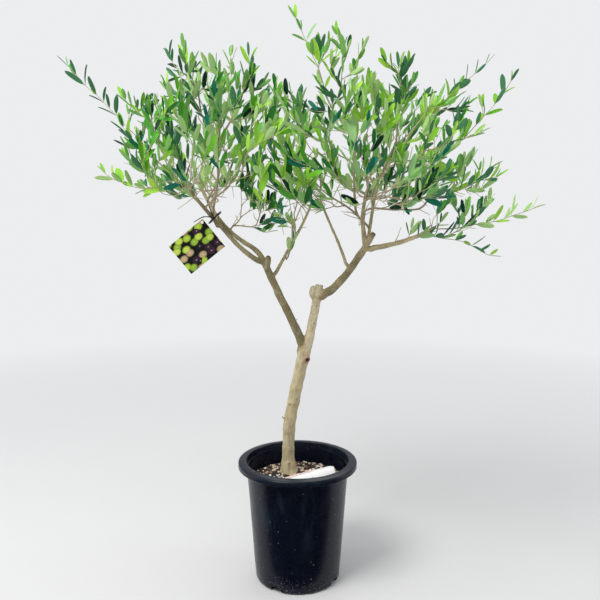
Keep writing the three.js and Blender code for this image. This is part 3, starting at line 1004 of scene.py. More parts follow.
def add_tube(points, faces, shades, line, thick):
    """Adds one closed, tapering tube to lists of points, faces and colour numbers."""
    first, side = len(points), None
    for k, here in enumerate(line):
        direction = (line[min(k + 1, len(line) - 1)] - line[max(k - 1, 0)]).normalized()
        side = direction.orthogonal() if side is None else side - direction * side.dot(direction)
        side.normalize()
        other = direction.cross(side)
        for s in range(TWIG_SIDES):
            a = 2 * math.pi * s / TWIG_SIDES
            points.append(here + (side * math.cos(a) + other * math.sin(a)) * thick[k])
    for k in range(len(line) - 1):
        shade = 0 if thick[k] > 1.5 * MM else 1 if thick[k] > 0.85 * MM else 2
        for s in range(TWIG_SIDES):
            a, b = first + k * TWIG_SIDES + s, first + k * TWIG_SIDES + (s + 1) % TWIG_SIDES
            faces.append((a, b, b + TWIG_SIDES, a + TWIG_SIDES))
            shades.append(shade)
    for ring, flip in ((0, True), (len(line) - 1, False)):
        base = first + ring * TWIG_SIDES
        for quad in ((0, 1, 2, 3), (0, 3, 4, 5)):
            corners = [base + c for c in quad]
            faces.append(tuple(reversed(corners)) if flip else tuple(corners))
            shades.append(shades[-1])


def twig_mesh(name, twigs, chains, radii, twiglets):
    """All the twigs of one lobe as one mesh of closed, tapering tubes."""
    points, faces, shades = [], [], []
    for chain in chains:
        thick = [radii[i] for i in chain]
        thick[0] = min(thick[0], thick[1] * 1.2)
        add_tube(points, faces, shades, [twigs.points[i] for i in chain], thick)
    for line, thick, _ in twiglets:
        add_tube(points, faces, shades, line, thick)
    return mesh_from_arrays(name, points, faces, shades)


# ------------------------------------------------------------------ leaves

LEAF_SHAPE = (  # share of the length and of the greatest half width
    (0.0, 0.07), (0.08, 0.12), (0.17, 0.55), (0.32, 0.90),
    (0.52, 1.0), (0.72, 0.95), (0.88, 0.70), (0.97, 0.34),
)
GREENS = (  # upper sides, from bright young leaves to old dark ones; the near-black one is painted shade for leaves in shadow
    (0.330, 0.620, 0.060), (0.230, 0.540, 0.032), (0.150, 0.450, 0.026), (0.070, 0.330, 0.030),
    (0.020, 0.150, 0.020), (0.002, 0.036, 0.016), (0.006, 0.170, 0.100), (0.270, 0.500, 0.190),
)
UNDERSIDES = ((0.400, 0.620, 0.230), (0.190, 0.430, 0.110), (0.060, 0.200, 0.090))
GREEN_CHANCES = (18, 26, 22, 11, 8, 5, 5, 5)
SHADED = (0, 2, 7, 12, 20, 32, 20, 4)  # the same, low in the crown, leaning to the darkest greens as painted shade under the canopy
SLENDER_GREENS = (0, 0, 1, 1, 2, 3, 7)  # numbers of the greens on slender shoots
SLENDER_LEAFY = 150 * MM  # how much of a slender shoot carries leaves
SLENDER_OPEN_BY = 14  # degrees by which their leaves stand out further
BARE_RADIUS = 1.9 * MM  # a twig thicker than this carries no leaves


def leaf_template():
    """A leaf along X with its upper side to +Z: points, upper triangles and lower triangles."""
    points = []
    for share, width in LEAF_SHAPE:
        points += [(share, 0, 0), (share, width, 1), (share, -width, 1), (share, 0, -1)]
    tip = len(points)
    points.append((1, 0, 0))
    upper, lower = [(0, 1, 3), (0, 3, 2)], []
    for k in range(len(LEAF_SHAPE) - 1):
        mid, left, right, under = (4 * k + c for c in range(4))
        upper += [(mid, mid + 4, left + 4), (mid, left + 4, left)]
        upper += [(mid, right, right + 4), (mid, right + 4, mid + 4)]
        lower += [(under, left, left + 4), (under, left + 4, under + 4)]
        lower += [(under, under + 4, right + 4), (under, right + 4, right)]
    last = 4 * (len(LEAF_SHAPE) - 1)
    upper += [(last, tip, last + 1), (last, last + 2, tip)]
    lower += [(last + 3, last + 1, tip), (last + 3, tip, last + 2)]
    return np.array(points, float), upper, lower


def leaf_points(template, length, width, curl, fold):
    """The leaf's points at its size: folded along its middle and curled along its length."""
    share, across, kind = template[:, 0], template[:, 1], template[:, 2]
    half = across * width / 2
    drop = np.where(kind < 0, 0.02 * width + 0.3 * MM, 0)
    return np.stack([share * length, half, np.abs(half) * fold - curl * length * share ** 2 - drop], axis=1)


def leaf_mesh(name, placed):
    """All the leaves of one lobe as one mesh. placed holds matrices, sizes and colour numbers."""
    template, upper, lower = leaf_template()
    own_faces = np.array(upper + lower)
    points, faces, shades = [], [], []
    for i, (matrix, sizes, green, under) in enumerate(placed):
        turn = np.array(matrix.to_3x3())
        points.append(leaf_points(template, *sizes) @ turn.T + np.array(matrix.translation))
        faces.append(own_faces + i * len(template))
        shades += [green] * len(upper) + [len(GREENS) + under] * len(lower)
    return mesh_from_arrays(name, np.vstack(points), np.vstack(faces), shades)


def place_leaf(base, direction, face, rng, size, settings):
    """A leaf's matrix and sizes, from its foot, its direction and where its upper side looks."""
    direction = direction.normalized()
    face = face - direction * face.dot(direction)
    face = face.normalized() if face.length > 1e-4 else direction.orthogonal().normalized()
    face.rotate(Matrix.Rotation(rng.gauss(0, 0.62), 3, direction))
    side = face.cross(direction)
    matrix = Matrix((direction, side, face)).transposed().to_4x4()
    matrix.translation = base
    length = settings.leaf_length * size * rng.uniform(0.78, 1.24)
    width = length * settings.leaf_width * rng.uniform(0.82, 1.22)
    return matrix, (length, width, rng.uniform(-0.06, 0.13), rng.uniform(0.08, 0.36))


def leaves_on(twigs, chain, radii, rng, settings):
    """Opposite pairs of leaves down one shoot from its tip, each pair a quarter turn on."""
    low = twigs.points[chain[-1]].z < SHADED_BELOW
    slender = twigs.node[chain[-1]] in SLENDER
    # Low in the crown the shoot takes its green from SHADED: darker greens as painted shade.
    green = rng.choices(range(len(GREENS)), SHADED if low else GREEN_CHANCES)[0]
    under = rng.randrange(len(UNDERSIDES))
    leafy = (rng.uniform(36, 96) if low else rng.uniform(55, 115)) * MM
    if slender:
        leafy = SLENDER_LEAFY
    spin = rng.uniform(0, math.pi)
    placed, distance, due, pair = [], 0.0, 0.0, 0
    for k in range(len(chain) - 1, 0, -1):
        here, prior = twigs.points[chain[k]], twigs.points[chain[k - 1]]
        reach = (here - prior).length
        stem = (here - prior).normalized()
        while due <= distance + reach:
            if due > leafy or radii[chain[k]] > BARE_RADIUS:
                return placed
            base = here.lerp(prior, (due - distance) / max(reach, 1e-6))
            if slender:
                green = rng.choice(SLENDER_GREENS)
            placed += leaf_pair(base, stem, spin, pair, radii[chain[k]], green, under, rng, settings,
                                open_by=SLENDER_OPEN_BY if slender else 0)
            pair += 1
            wide = 1.0 if not slender else 1.2 if low else 1.5
            due += settings.pair_gap * rng.uniform(0.72, 1.25) * wide
        distance += reach
    return placed


def leaf_pair(base, stem, spin, pair, radius, green, under, rng, settings, open_by=0):
    """One pair of leaves, whose blades lean upwards; open_by widens their angle, in degrees."""
    made = []
    axis = stem.orthogonal().normalized()
    axis.rotate(Matrix.Rotation(spin + pair * math.pi / 2 + rng.gauss(0, 0.25), 3, stem))
    spread = math.radians(rng.uniform(12, 26) if pair == 0 else rng.uniform(22, 52) + open_by)
    size = (0.72, 0.92)[pair] if pair < 2 else rng.uniform(0.88, 1.1)
    for way in (1, -1):
        if pair > 1 and rng.random() < 0.13:
            continue
        out = axis * way
        direction = stem * math.cos(spread) + out * math.sin(spread) + UP * 0.55
        open_air = Vector((base.x, base.y, 0)).normalized() * 0.55 + UP * 0.45
        face = stem * math.sin(spread) - out * math.cos(spread) + open_air
        # Each leaf moves up to two greens from its shoot's: partly its own tone, partly painted light and
        # shade for how it faces the light.
        tint = max(0, min(len(GREENS) - 1, green + rng.choice((-2, -1, 0, 0, 0, 1, 2))))
        matrix, sizes = place_leaf(base + out * radius * 0.6, direction, face, rng, size, settings)
        made.append((matrix, sizes, tint, under))
    return made


def leaf_materials():
    """One plain colour for each green and for each pale underside."""
    made = []
    for name, colours, roughness in (("leaf_upper", GREENS, 0.5), ("leaf_under", UNDERSIDES, 0.7)):
        for i, colour in enumerate(colours):
            material, _, _ = new_material(f"{name}_{i}", Base_Color=colour, Roughness=roughness,
                                          Specular_IOR_Level=0.22)
            made.append(material)
    return made


def twig_materials():
    """Mottled bark from grey-brown twigs to pale young shoots."""
    pairs = (((0.25, 0.19, 0.12), (0.40, 0.32, 0.22)), ((0.33, 0.26, 0.16), (0.50, 0.41, 0.28)),
             ((0.34, 0.32, 0.16), (0.50, 0.48, 0.27)))
    made = []
    for i, (dark, pale) in enumerate(pairs):
        material, tree, shader = new_material(f"twig_{i}", Roughness=0.75)
        mottle = use_group(tree, mottle_group(), Vector=object_place(tree), Scale=150.0, Contrast=0.6)
        feed(tree, shader, Base_Color=mixed(tree, mottle, dark, pale))
        made.append(material)
    return made


class OLIVE_OT_crown(Operator):
    """Grows the twigs out of the boughs and hangs the leaves on them"""

    bl_idname = "olive.crown"
    bl_label = "Twigs and leaves"

    def execute(self, context):
        settings = context.scene.olive_crown
        twigs = grow_crown(settings)
        radii = twig_radii(twigs, settings.tip_radius)
        chains = chains_of(twigs)
        rng = random.Random(settings.seed + 1)
        leaves, stems = leaf_materials(), twig_materials()
        placed = {lobe: [] for lobe in LOBES}
        for chain in chains:
            placed[lobe_of(twigs.node[chain[-1]])] += leaves_on(twigs, chain, radii, rng, settings)
        twiglets = bare_twiglets(twigs, chains, radii, rng)
        for lobe in LOBES:
            own = [chain for chain in chains if lobe_of(twigs.node[chain[-1]]) == lobe]
            bare = [row for row in twiglets if row[2] == lobe]
            nodes = [node for node in LEAF_NODES if lobe_of(node) == lobe]
            wood = twig_mesh(f"twigs_{lobe}", twigs, own, radii, bare)
            finish_piece(wood, "bark", stems)
            foliage = leaf_mesh(f"leaves_{lobe}", placed[lobe])
            smooth(foliage, 38)
            finish_piece(foliage, "leaves", leaves, *nodes)
        return {"FINISHED"}


# ------------------------------------------------------------------ pot

_, LIP_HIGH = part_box("pot_lip")
POT_HEIGHT = LIP_HIGH.z
LIP_RADIUS = LIP_HIGH.x
LIP_INNER = LIP_RADIUS - 17 * MM
SKIRT = 13 * MM
WALL_TOP = LIP_RADIUS - 17.5 * MM
FOOT_RADIUS = 86 * MM
FOOT_CORNER = 7 * MM
PAD_RADIUS = 62 * MM
CHANNEL_RADIUS = 75 * MM
CHANNEL_DEPTH = 2.5 * MM
FLOOR_TOP = 7.5 * MM
NOTCHES = 4
NOTCH_BLOCK = (24 * MM, 25 * MM, 15 * MM)
FIRST_NOTCH = math.radians(-30)  # from the front, towards +X


def wall_radius(height):
    """Outside radius of the pot's wall."""
    share = min(1.0, max(0.0, height / (POT_HEIGHT - SKIRT)))
    return FOOT_RADIUS + (WALL_TOP - FOOT_RADIUS) * share


def pot_profile(settings):
    """The pot's section, from the middle of its underside round to the middle of its floor."""
    top = POT_HEIGHT
    under = top - SKIRT
    wall, roll = settings.wall, settings.lip_roll
    return [
        (0, 0), (PAD_RADIUS, 0), (PAD_RADIUS + 3 * MM, CHANNEL_DEPTH),
        (CHANNEL_RADIUS - 3 * MM, CHANNEL_DEPTH), (CHANNEL_RADIUS, 0),
        *arc((FOOT_RADIUS - FOOT_CORNER, FOOT_CORNER), FOOT_CORNER, -90, -4, 6),
        (wall_radius(40 * MM), 40 * MM), (wall_radius(110 * MM), 110 * MM),
        (wall_radius(180 * MM), 180 * MM), (wall_radius(under - 8 * MM), under - 8 * MM),
        (wall_radius(under) + 0.4 * MM, under - 3 * MM), (wall_radius(under) + 1.2 * MM, under + 3 * MM),
        (wall_radius(under) + 1.6 * MM, top - 2.6 * MM - wall), (LIP_RADIUS - 4 * MM, top - 4.6 * MM - wall),
        (LIP_RADIUS - 2.6 * MM, under + 0.6 * MM), (LIP_RADIUS - 2.0 * MM, under),
        (LIP_RADIUS - 0.6 * MM, under), (LIP_RADIUS, under + 0.6 * MM),
        *arc((LIP_RADIUS - roll, top - 1.8 * MM - roll), roll, 0, 80, 5),
        (LIP_RADIUS - 9 * MM, top - 0.35 * MM),
        *arc((LIP_INNER + 2.4 * MM, top - 2.4 * MM), 2.4 * MM, 90, 180, 5),
        (LIP_INNER - 0.2 * MM, top - 10 * MM), (LIP_INNER - 0.9 * MM, top - 12.2 * MM),
        (WALL_TOP - wall - 0.4 * MM, under + 0.2 * MM), (WALL_TOP - wall - 0.6 * MM, under - 3 * MM),
        (wall_radius(12 * MM) - wall, 12 * MM), (FOOT_RADIUS - wall - 8 * MM, FLOOR_TOP), (0, FLOOR_TOP),
    ]


def notch_cutter(turn):
    """A rounded block that cuts one drain notch through the foot ring."""
    clear_selection()
    bpy.ops.mesh.primitive_cube_add(size=1, location=(0, -FOOT_RADIUS, 3.5 * MM),
                                    scale=NOTCH_BLOCK)
    block = bpy.context.object
    bpy.ops.object.transform_apply(location=True, rotation=True, scale=True)
    apply_modifier(block, "BEVEL", width=3.5 * MM, segments=3, limit_method="NONE")
    block.rotation_euler = (0, 0, turn)
    bpy.ops.object.transform_apply(location=True, rotation=True, scale=True)
    return block


def plastic_material(settings):
    """Blue-black moulded plastic with scuffs, fine mottling and dried dust low on the wall."""
    material, tree, shader = new_material("pot_plastic", Roughness=0.4, Specular_IOR_Level=0.24)
    place = object_place(tree)
    split = add_node(tree, "ShaderNodeSeparateXYZ", {"Vector": place})
    height = split.outputs["Z"]
    mottle = use_group(tree, mottle_group(), Vector=place, Scale=34.0, Contrast=0.5)
    tall = stretched(tree, place, (1.0, 1.0, 0.28))
    rubs = noise_value(tree, tall, 30.0, 4.0)
    above, below = ranged(tree, height, 0.09, 0.15), ranged(tree, height, 0.19, 0.235, 1.0, 0.25)
    middle = maths(tree, "MULTIPLY", above, below)
    scuff = maths(tree, "MULTIPLY", ranged(tree, rubs, 0.53, 0.74), middle)
    lip = ranged(tree, height, POT_HEIGHT - SKIRT, POT_HEIGHT - SKIRT + 6 * MM)
    lip_wear = maths(tree, "MULTIPLY", lip, ranged(tree, mottle, 0.2, 0.9, 0.35, 1.0))
    low = ranged(tree, height, 0.002, 0.055, 1.0, 0.0)
    low = maths(tree, "POWER", low, 1.6)
    flecks = use_group(tree, specks_group(), Vector=place, Scale=300.0, Amount=0.46)
    dust = maths(tree, "MULTIPLY", flecks, low)
    stray = use_group(tree, specks_group(), Vector=place, Scale=190.0, Amount=0.035)
    grains = maths(tree, "ADD", dust, maths(tree, "MULTIPLY", stray, 0.35), clamp=True)
    base = mixed(tree, ranged(tree, mottle, 0.3, 0.9), settings.colour, (0.0035, 0.0065, 0.016))
    rubbed = mixed(tree, maths(tree, "MULTIPLY", scuff, 0.4), base, (0.022, 0.055, 0.085))
    worn = mixed(tree, maths(tree, "MULTIPLY", lip_wear, 0.5), rubbed, (0.018, 0.027, 0.038))
    dusty = mixed(tree, grains, worn, settings.dust)
    matt = maths(tree, "MULTIPLY", grains, 0.4)
    rough = maths(tree, "ADD", ranged(tree, mottle, 0.0, 1.0, 0.22, 0.34), matt)
    rough = maths(tree, "ADD", rough, maths(tree, "MULTIPLY", scuff, 0.15), clamp=True)
    feed(tree, shader, Base_Color=dusty, Roughness=rough)
    fine = noise_value(tree, place, 900.0, 2.0)
    relief_height = maths(tree, "ADD", maths(tree, "MULTIPLY", fine, 0.15), grains)
    bump(tree, shader, relief_height, 0.35, 0.25 * MM)
    return material


class OLIVE_OT_pot(Operator):
    """Builds the nursery pot with its rolled lip and drain notches"""

    bl_idname = "olive.pot"
    bl_label = "Pot"

    def execute(self, context):
        settings = context.scene.olive_pot
        pot = lathe("nursery_pot", pot_profile(settings), settings.steps)
        cutters = [notch_cutter(FIRST_NOTCH + 2 * math.pi * i / NOTCHES) for i in range(NOTCHES)]
        cutter = join(cutters)
        apply_modifier(pot, "BOOLEAN", operation="DIFFERENCE", object=cutter, solver="EXACT")
        bpy.data.objects.remove(cutter)
        settle(pot, "nursery_pot")
        smooth(pot, 32)
        finish_piece(pot, "pot_plastic", [plastic_material(settings)], "pot", "pot_lip")
        return {"FINISHED"}


# ------------------------------------------------------------------ soil

SOIL_LOW, SOIL_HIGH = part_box("soil")
SOIL_EDGE = SOIL_HIGH.z - 7 * MM
SOIL_CROWN = 58 * MM
SOIL_RADIUS = 97.5 * MM


def soil_height(radius):
    """Height of the soil at a distance from the pot's axis: flat, then falling to the wall."""
    share = min(1.0, max(0.0, (radius - SOIL_CROWN) / (SOIL_RADIUS - SOIL_CROWN)))
    return SOIL_HIGH.z - 1.2 * MM - (SOIL_HIGH.z - SOIL_EDGE) * share ** 0.8


def grain_shape(rng, flatness):
    """The corner points and faces of one lumpy grain about one unit across."""
    mesh = bmesh.new()
    bmesh.ops.create_icosphere(mesh, subdivisions=2, radius=0.5)
    offset = Vector((rng.uniform(0, 50), rng.uniform(0, 50), rng.uniform(0, 50)))
    for vertex in mesh.verts:
        vertex.co *= 1 + 0.55 * noise.noise(vertex.co * 2.6 + offset)
        vertex.co.y *= rng.uniform(0.68, 0.72)
        vertex.co.z *= flatness
    mesh.verts.ensure_lookup_table()
    points = np.array([v.co for v in mesh.verts])
    faces = np.array([[v.index for v in f.verts] for f in mesh.faces])
    mesh.free()
    return points, faces


def scatter_grains(name, count, size, flatness, shades, rng):
    """Joins many grains that lie on the soil into one mesh."""
    shapes = [grain_shape(rng, flatness) for _ in range(12)]
    stem = LIMBS["trunk"][0][0]
    points, faces, indices = [], [], []
    total = 0
    for _ in range(count):
        radius = SOIL_RADIUS * math.sqrt(rng.random()) * 0.985
        turn = rng.uniform(0, 2 * math.pi)
        spot = Vector((radius * math.cos(turn), radius * math.sin(turn), 0))
        if (spot - Vector((stem.x, stem.y, 0))).length < 15 * MM:
            continue
        spot.z = soil_height(radius) + rng.uniform(-1.4, 1.5) * MM
        length = size * rng.uniform(0.55, 1.25)
        spot.xy *= 1 - 0.5 * length / SOIL_RADIUS
        turned = Euler((rng.gauss(0, 0.5), rng.gauss(0, 0.5), rng.uniform(0, 6.28))).to_matrix()
        shape, tris = rng.choice(shapes)
        points.append((shape * length) @ np.array(turned).T + np.array(spot))
        faces.append(tris + total)
        total += len(shape)
        indices += [rng.randrange(shades)] * len(tris)
    return mesh_from_arrays(name, np.vstack(points), np.vstack(faces), indices, smooth_faces=False)


def soil_material(name, colour, pale, roughness=0.9):
    """Earthy material with fine mottling."""
    material, tree, shader = new_material(name, Roughness=roughness)
    place = object_place(tree)
    mottle = use_group(tree, mottle_group(), Vector=place, Scale=260.0, Contrast=0.6)
    feed(tree, shader, Base_Color=mixed(tree, mottle, colour, pale))
    bump(tree, shader, mottle, 0.6, 0.6 * MM)
    return material


class OLIVE_OT_soil(Operator):
    """Fills the pot with soil, bark chips and pumice"""

    bl_idname = "olive.soil"
    bl_label = "Soil"

    def execute(self, context):
        settings = context.scene.olive_soil
        rng = random.Random(23)
        rings = [(SOIL_RADIUS * k / 22, soil_height(SOIL_RADIUS * k / 22)) for k in range(22, -1, -1)]
        foot = SOIL_LOW.z
        profile = [(0, foot), (76 * MM, foot), (wall_radius(14 * MM) - 4 * MM, 14 * MM),
                   (SOIL_RADIUS, SOIL_EDGE - 4 * MM), *rings]
        bed = lathe("soil_bed", profile, 72)
        for vertex in bed.data.vertices:
            radius = vertex.co.to_2d().length
            if vertex.co.z > SOIL_EDGE - 2 * MM and radius < SOIL_RADIUS - 1 * MM:
                vertex.co.z += noise.noise(vertex.co * 140) * 1.6 * MM
        smooth(bed, 60)
        fines = soil_material("soil_fines", settings.colour, (0.03, 0.018, 0.011))
        finish_piece(bed, "soil", [fines], "soil")
        chips = scatter_grains("bark_chips", settings.chips, settings.chip_size, 0.5, 3, rng)
        browns = (((0.50, 0.34, 0.23), (0.76, 0.61, 0.47)), ((0.12, 0.064, 0.042), (0.25, 0.15, 0.10)),
                  ((0.020, 0.011, 0.007), (0.07, 0.04, 0.025)))
        finish_piece(chips, "soil", [soil_material(f"bark_chip_{i}", *pair) for i, pair in enumerate(browns)])
        grit = scatter_grains("pumice_grit", settings.grit, settings.chip_size * 0.7, 0.8, 2, rng)
        whites = (((0.82, 0.79, 0.73), (0.92, 0.91, 0.87)), ((0.68, 0.57, 0.45), (0.84, 0.76, 0.64)))
        finish_piece(grit, "soil", [soil_material(f"pumice_{i}", *pair) for i, pair in enumerate(whites)])
        return {"FINISHED"}


# ------------------------------------------------------------------ label, tag and tie

LABEL_LENGTH = 140 * MM
LABEL_WIDTH = 46 * MM
LABEL_ANGLE = math.radians(29)
LABEL_FOOT = Vector((-48.5, -45)) * MM
TAG_CENTRE = (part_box("hang_tag")[0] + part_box("hang_tag")[1]) / 2
TAG_ANGLE = math.radians(-39)
TIE_CENTRE = (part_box("tag_tie")[0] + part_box("tag_tie")[1]) / 2
TIE_AXIS = Vector((-0.69, 0, 0.72)).normalized()
TIE_TAILS = (((-6, -3, 14), (-12, -5, 34)), ((-18, -4, 2), (-38, -6, -8)))  # from its head, in mm


def label_outline(share):
    """Half width of the label's tongue at a share of its length."""
    if share < 0.12:
        return 0.6 + 0.4 * share / 0.12
    if share > 0.86:
        return math.sqrt(max(0.0, 1 - ((share - 0.86) / 0.14) ** 2.2))
    return 1.0


def label_material(settings):
    """Glossy white plastic with faint smudges and plain pink stripes along its upper edge."""
    material, tree, shader = new_material("label_plastic", Roughness=0.3)
    place = add_node(tree, "ShaderNodeUVMap").outputs[0]
    split = add_node(tree, "ShaderNodeSeparateXYZ", {"Vector": place})
    along, across = split.outputs["X"], split.outputs["Y"]
    mottle = use_group(tree, mottle_group(), Vector=object_place(tree), Scale=90.0, Contrast=0.4)
    smudged = mixed(tree, ranged(tree, mottle, 0.6, 1.0, 0.0, 0.35), settings.label, (0.55, 0.55, 0.54))
    upper = ranged(tree, across, 0.42, 0.52)
    part = maths(tree, "MULTIPLY", ranged(tree, along, 0.62, 0.70, 1.0, 0.0), upper)
    stripes = maths(tree, "SINE", maths(tree, "MULTIPLY", across, 2 * math.pi * 8))
    band = maths(tree, "MULTIPLY", ranged(tree, stripes, -0.2, 0.4), part)
    colour = mixed(tree, maths(tree, "MULTIPLY", band, 0.85), smudged, (0.52, 0.15, 0.17))
    feed(tree, shader, Base_Color=colour, Roughness=ranged(tree, mottle, 0.0, 1.0, 0.22, 0.42))
    return material


def tag_material():
    """A printed card: a heap of round fruit in greens, tan and dark purple on near black."""
    material, tree, shader = new_material("tag_print", Roughness=0.32)
    card = add_node(tree, "ShaderNodeUVMap").outputs[0]
    cells = add_node(tree, "ShaderNodeTexVoronoi", {"Vector": card, "Scale": 5.0, "Randomness": 0.8},
                     voronoi_dimensions="2D")
    bits = add_node(tree, "ShaderNodeSeparateColor", {"Color": cells.outputs["Color"]})
    ramp = tree.nodes.new("ShaderNodeValToRGB")
    ramp.color_ramp.interpolation = "CONSTANT"
    fruit = ((0.0, (0.40, 0.58, 0.035)), (0.32, (0.50, 0.66, 0.07)), (0.52, (0.52, 0.36, 0.20)),
             (0.62, (0.05, 0.015, 0.04)), (0.78, (0.28, 0.46, 0.03)), (0.94, (0.016, 0.010, 0.016)))
    while len(ramp.color_ramp.elements) < len(fruit):
        ramp.color_ramp.elements.new(0.5)
    for element, (stop, colour) in zip(ramp.color_ramp.elements, fruit):
        element.position = stop
        element.color = (*colour, 1)
    tree.links.new(bits.outputs[0], ramp.inputs["Fac"])
    shade = ranged(tree, cells.outputs["Distance"], 0.34, 0.56, 1.0, 0.0)
    body = mixed(tree, shade, (0.006, 0.008, 0.006), ramp.outputs["Color"])
    shine = ranged(tree, cells.outputs["Distance"], 0.0, 0.12, 0.55, 0.0)
    lit = mixed(tree, shine, body, (0.75, 0.78, 0.6))
    speckle = noise_value(tree, card, 60.0, 2.0)
    colour = mixed(tree, ranged(tree, speckle, 0.45, 0.7, 0.0, 0.18), lit, (0.02, 0.02, 0.015))
    feed(tree, shader, Base_Color=colour, Roughness=ranged(tree, speckle, 0.3, 0.7, 0.26, 0.4))
    return material


class OLIVE_OT_trim(Operator):
    """Builds the blank label, the hang tag and its cable tie"""

    bl_idname = "olive.trim"
    bl_label = "Label, tag and tie"

    def execute(self, context):
        settings = context.scene.olive_trim
        self.label(settings)
        self.tag()
        self.tie(settings)
        return {"FINISHED"}

    @staticmethod
    def label(settings):
        """A tongue-shaped strip, slightly arched along its length."""
        clear_selection()
        bpy.ops.mesh.primitive_grid_add(x_subdivisions=40, y_subdivisions=8, size=1)
        label = bpy.context.object
        for vertex in label.data.vertices:
            share = vertex.co.x + 0.5
            side = vertex.co.y * LABEL_WIDTH * label_outline(share)
            arch = 2.5 * MM * math.sin(math.pi * share) + 7.0 * MM * share ** 2
            roll = side ** 2 / LABEL_WIDTH
            vertex.co = Vector((share * LABEL_LENGTH, side, arch - roll))
        apply_modifier(label, "SOLIDIFY", thickness=0.7 * MM, offset=1)
        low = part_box("plant_label")[0]
        label.rotation_euler = (math.radians(3), 0, LABEL_ANGLE)
        label.location = (*LABEL_FOOT, low.z + 1.5 * MM)
        settle(label, "plant_label_strip")
        smooth(label, 40)
        finish_piece(label, "label_plastic", [label_material(settings)], "plant_label")

    @staticmethod
    def tag():
        """A thin, slightly bowed card with a punched hole."""
        clear_selection()
        bpy.ops.mesh.primitive_grid_add(x_subdivisions=12, y_subdivisions=10, size=1)
        card = bpy.context.object
        for vertex in card.data.vertices:
            x, y = vertex.co.x * 84 * MM, vertex.co.y * 67 * MM
            vertex.co = Vector((x, y, 1.6 * MM * math.sin(math.pi * (vertex.co.x + 0.5))))
        apply_modifier(card, "SOLIDIFY", thickness=0.5 * MM, offset=0)
        clear_selection()
        bpy.ops.mesh.primitive_cylinder_add(vertices=24, radius=2.6 * MM, depth=20 * MM,
                                            location=(37 * MM, 28.5 * MM, 0))
        punch = bpy.context.object
        bpy.ops.object.transform_apply(location=True, rotation=True, scale=True)
        apply_modifier(card, "BOOLEAN", operation="DIFFERENCE", object=punch, solver="EXACT")
        bpy.data.objects.remove(punch)
        card.rotation_euler = (math.pi / 2, 0, 0)
        settle(card, "tag_card")
        card.rotation_euler = (0, TAG_ANGLE, 0)
        card.location = TAG_CENTRE
        settle(card, "tag_card")
        smooth(card, 40)
        finish_piece(card, "tag_card", [tag_material()], "hang_tag")

    @staticmethod
    def tie(settings):
        """A cable tie looped round both left boughs, with its head and two loose tails."""
        clear_selection()
        turn = TIE_AXIS.to_track_quat("Z", "Y").to_euler()
        bpy.ops.mesh.primitive_torus_add(location=TIE_CENTRE, rotation=turn, major_radius=15.5 * MM,
                                         minor_radius=1.5 * MM, major_segments=56, minor_segments=10)
        loop = bpy.context.object
        bpy.ops.object.transform_apply(location=True, rotation=True, scale=True)
        front = TIE_CENTRE + Vector((0, -16 * MM, 0))
        clear_selection()
        bpy.ops.mesh.primitive_cube_add(size=1, location=front, rotation=turn,
                                        scale=(4.6 * MM, 3.6 * MM, 5.2 * MM))
        head = bpy.context.object
        bpy.ops.object.transform_apply(location=True, rotation=True, scale=True)
        apply_modifier(head, "BEVEL", width=0.7 * MM, segments=2)
        parts = [loop, head]
        for bend, end in TIE_TAILS:
            tail = [front, front + Vector(bend) * MM, front + Vector(end) * MM]
            line, radii = resample(tail, [1.1 * MM, 1.0 * MM, 0.7 * MM], 4 * MM)
            parts.append(tube(line, radii, 2))
        tie = join(parts)
        settle(tie, "cable_tie")
        smooth(tie, 40)
        material, tree, shader = new_material("tie_plastic", Base_Color=tuple(settings.tie), Roughness=0.4)
        mottle = use_group(tree, mottle_group(), Vector=object_place(tree), Scale=200.0, Contrast=0.4)
        feed(tree, shader, Roughness=ranged(tree, mottle, 0.0, 1.0, 0.32, 0.5),
             Base_Color=mixed(tree, mottle, settings.tie, (0.02, 0.02, 0.022)))
        finish_piece(tie, "tie_plastic", [material], "tag_tie")


# ------------------------------------------------------------------ stage


BACKDROP = (0.839, 0.847, 0.863)


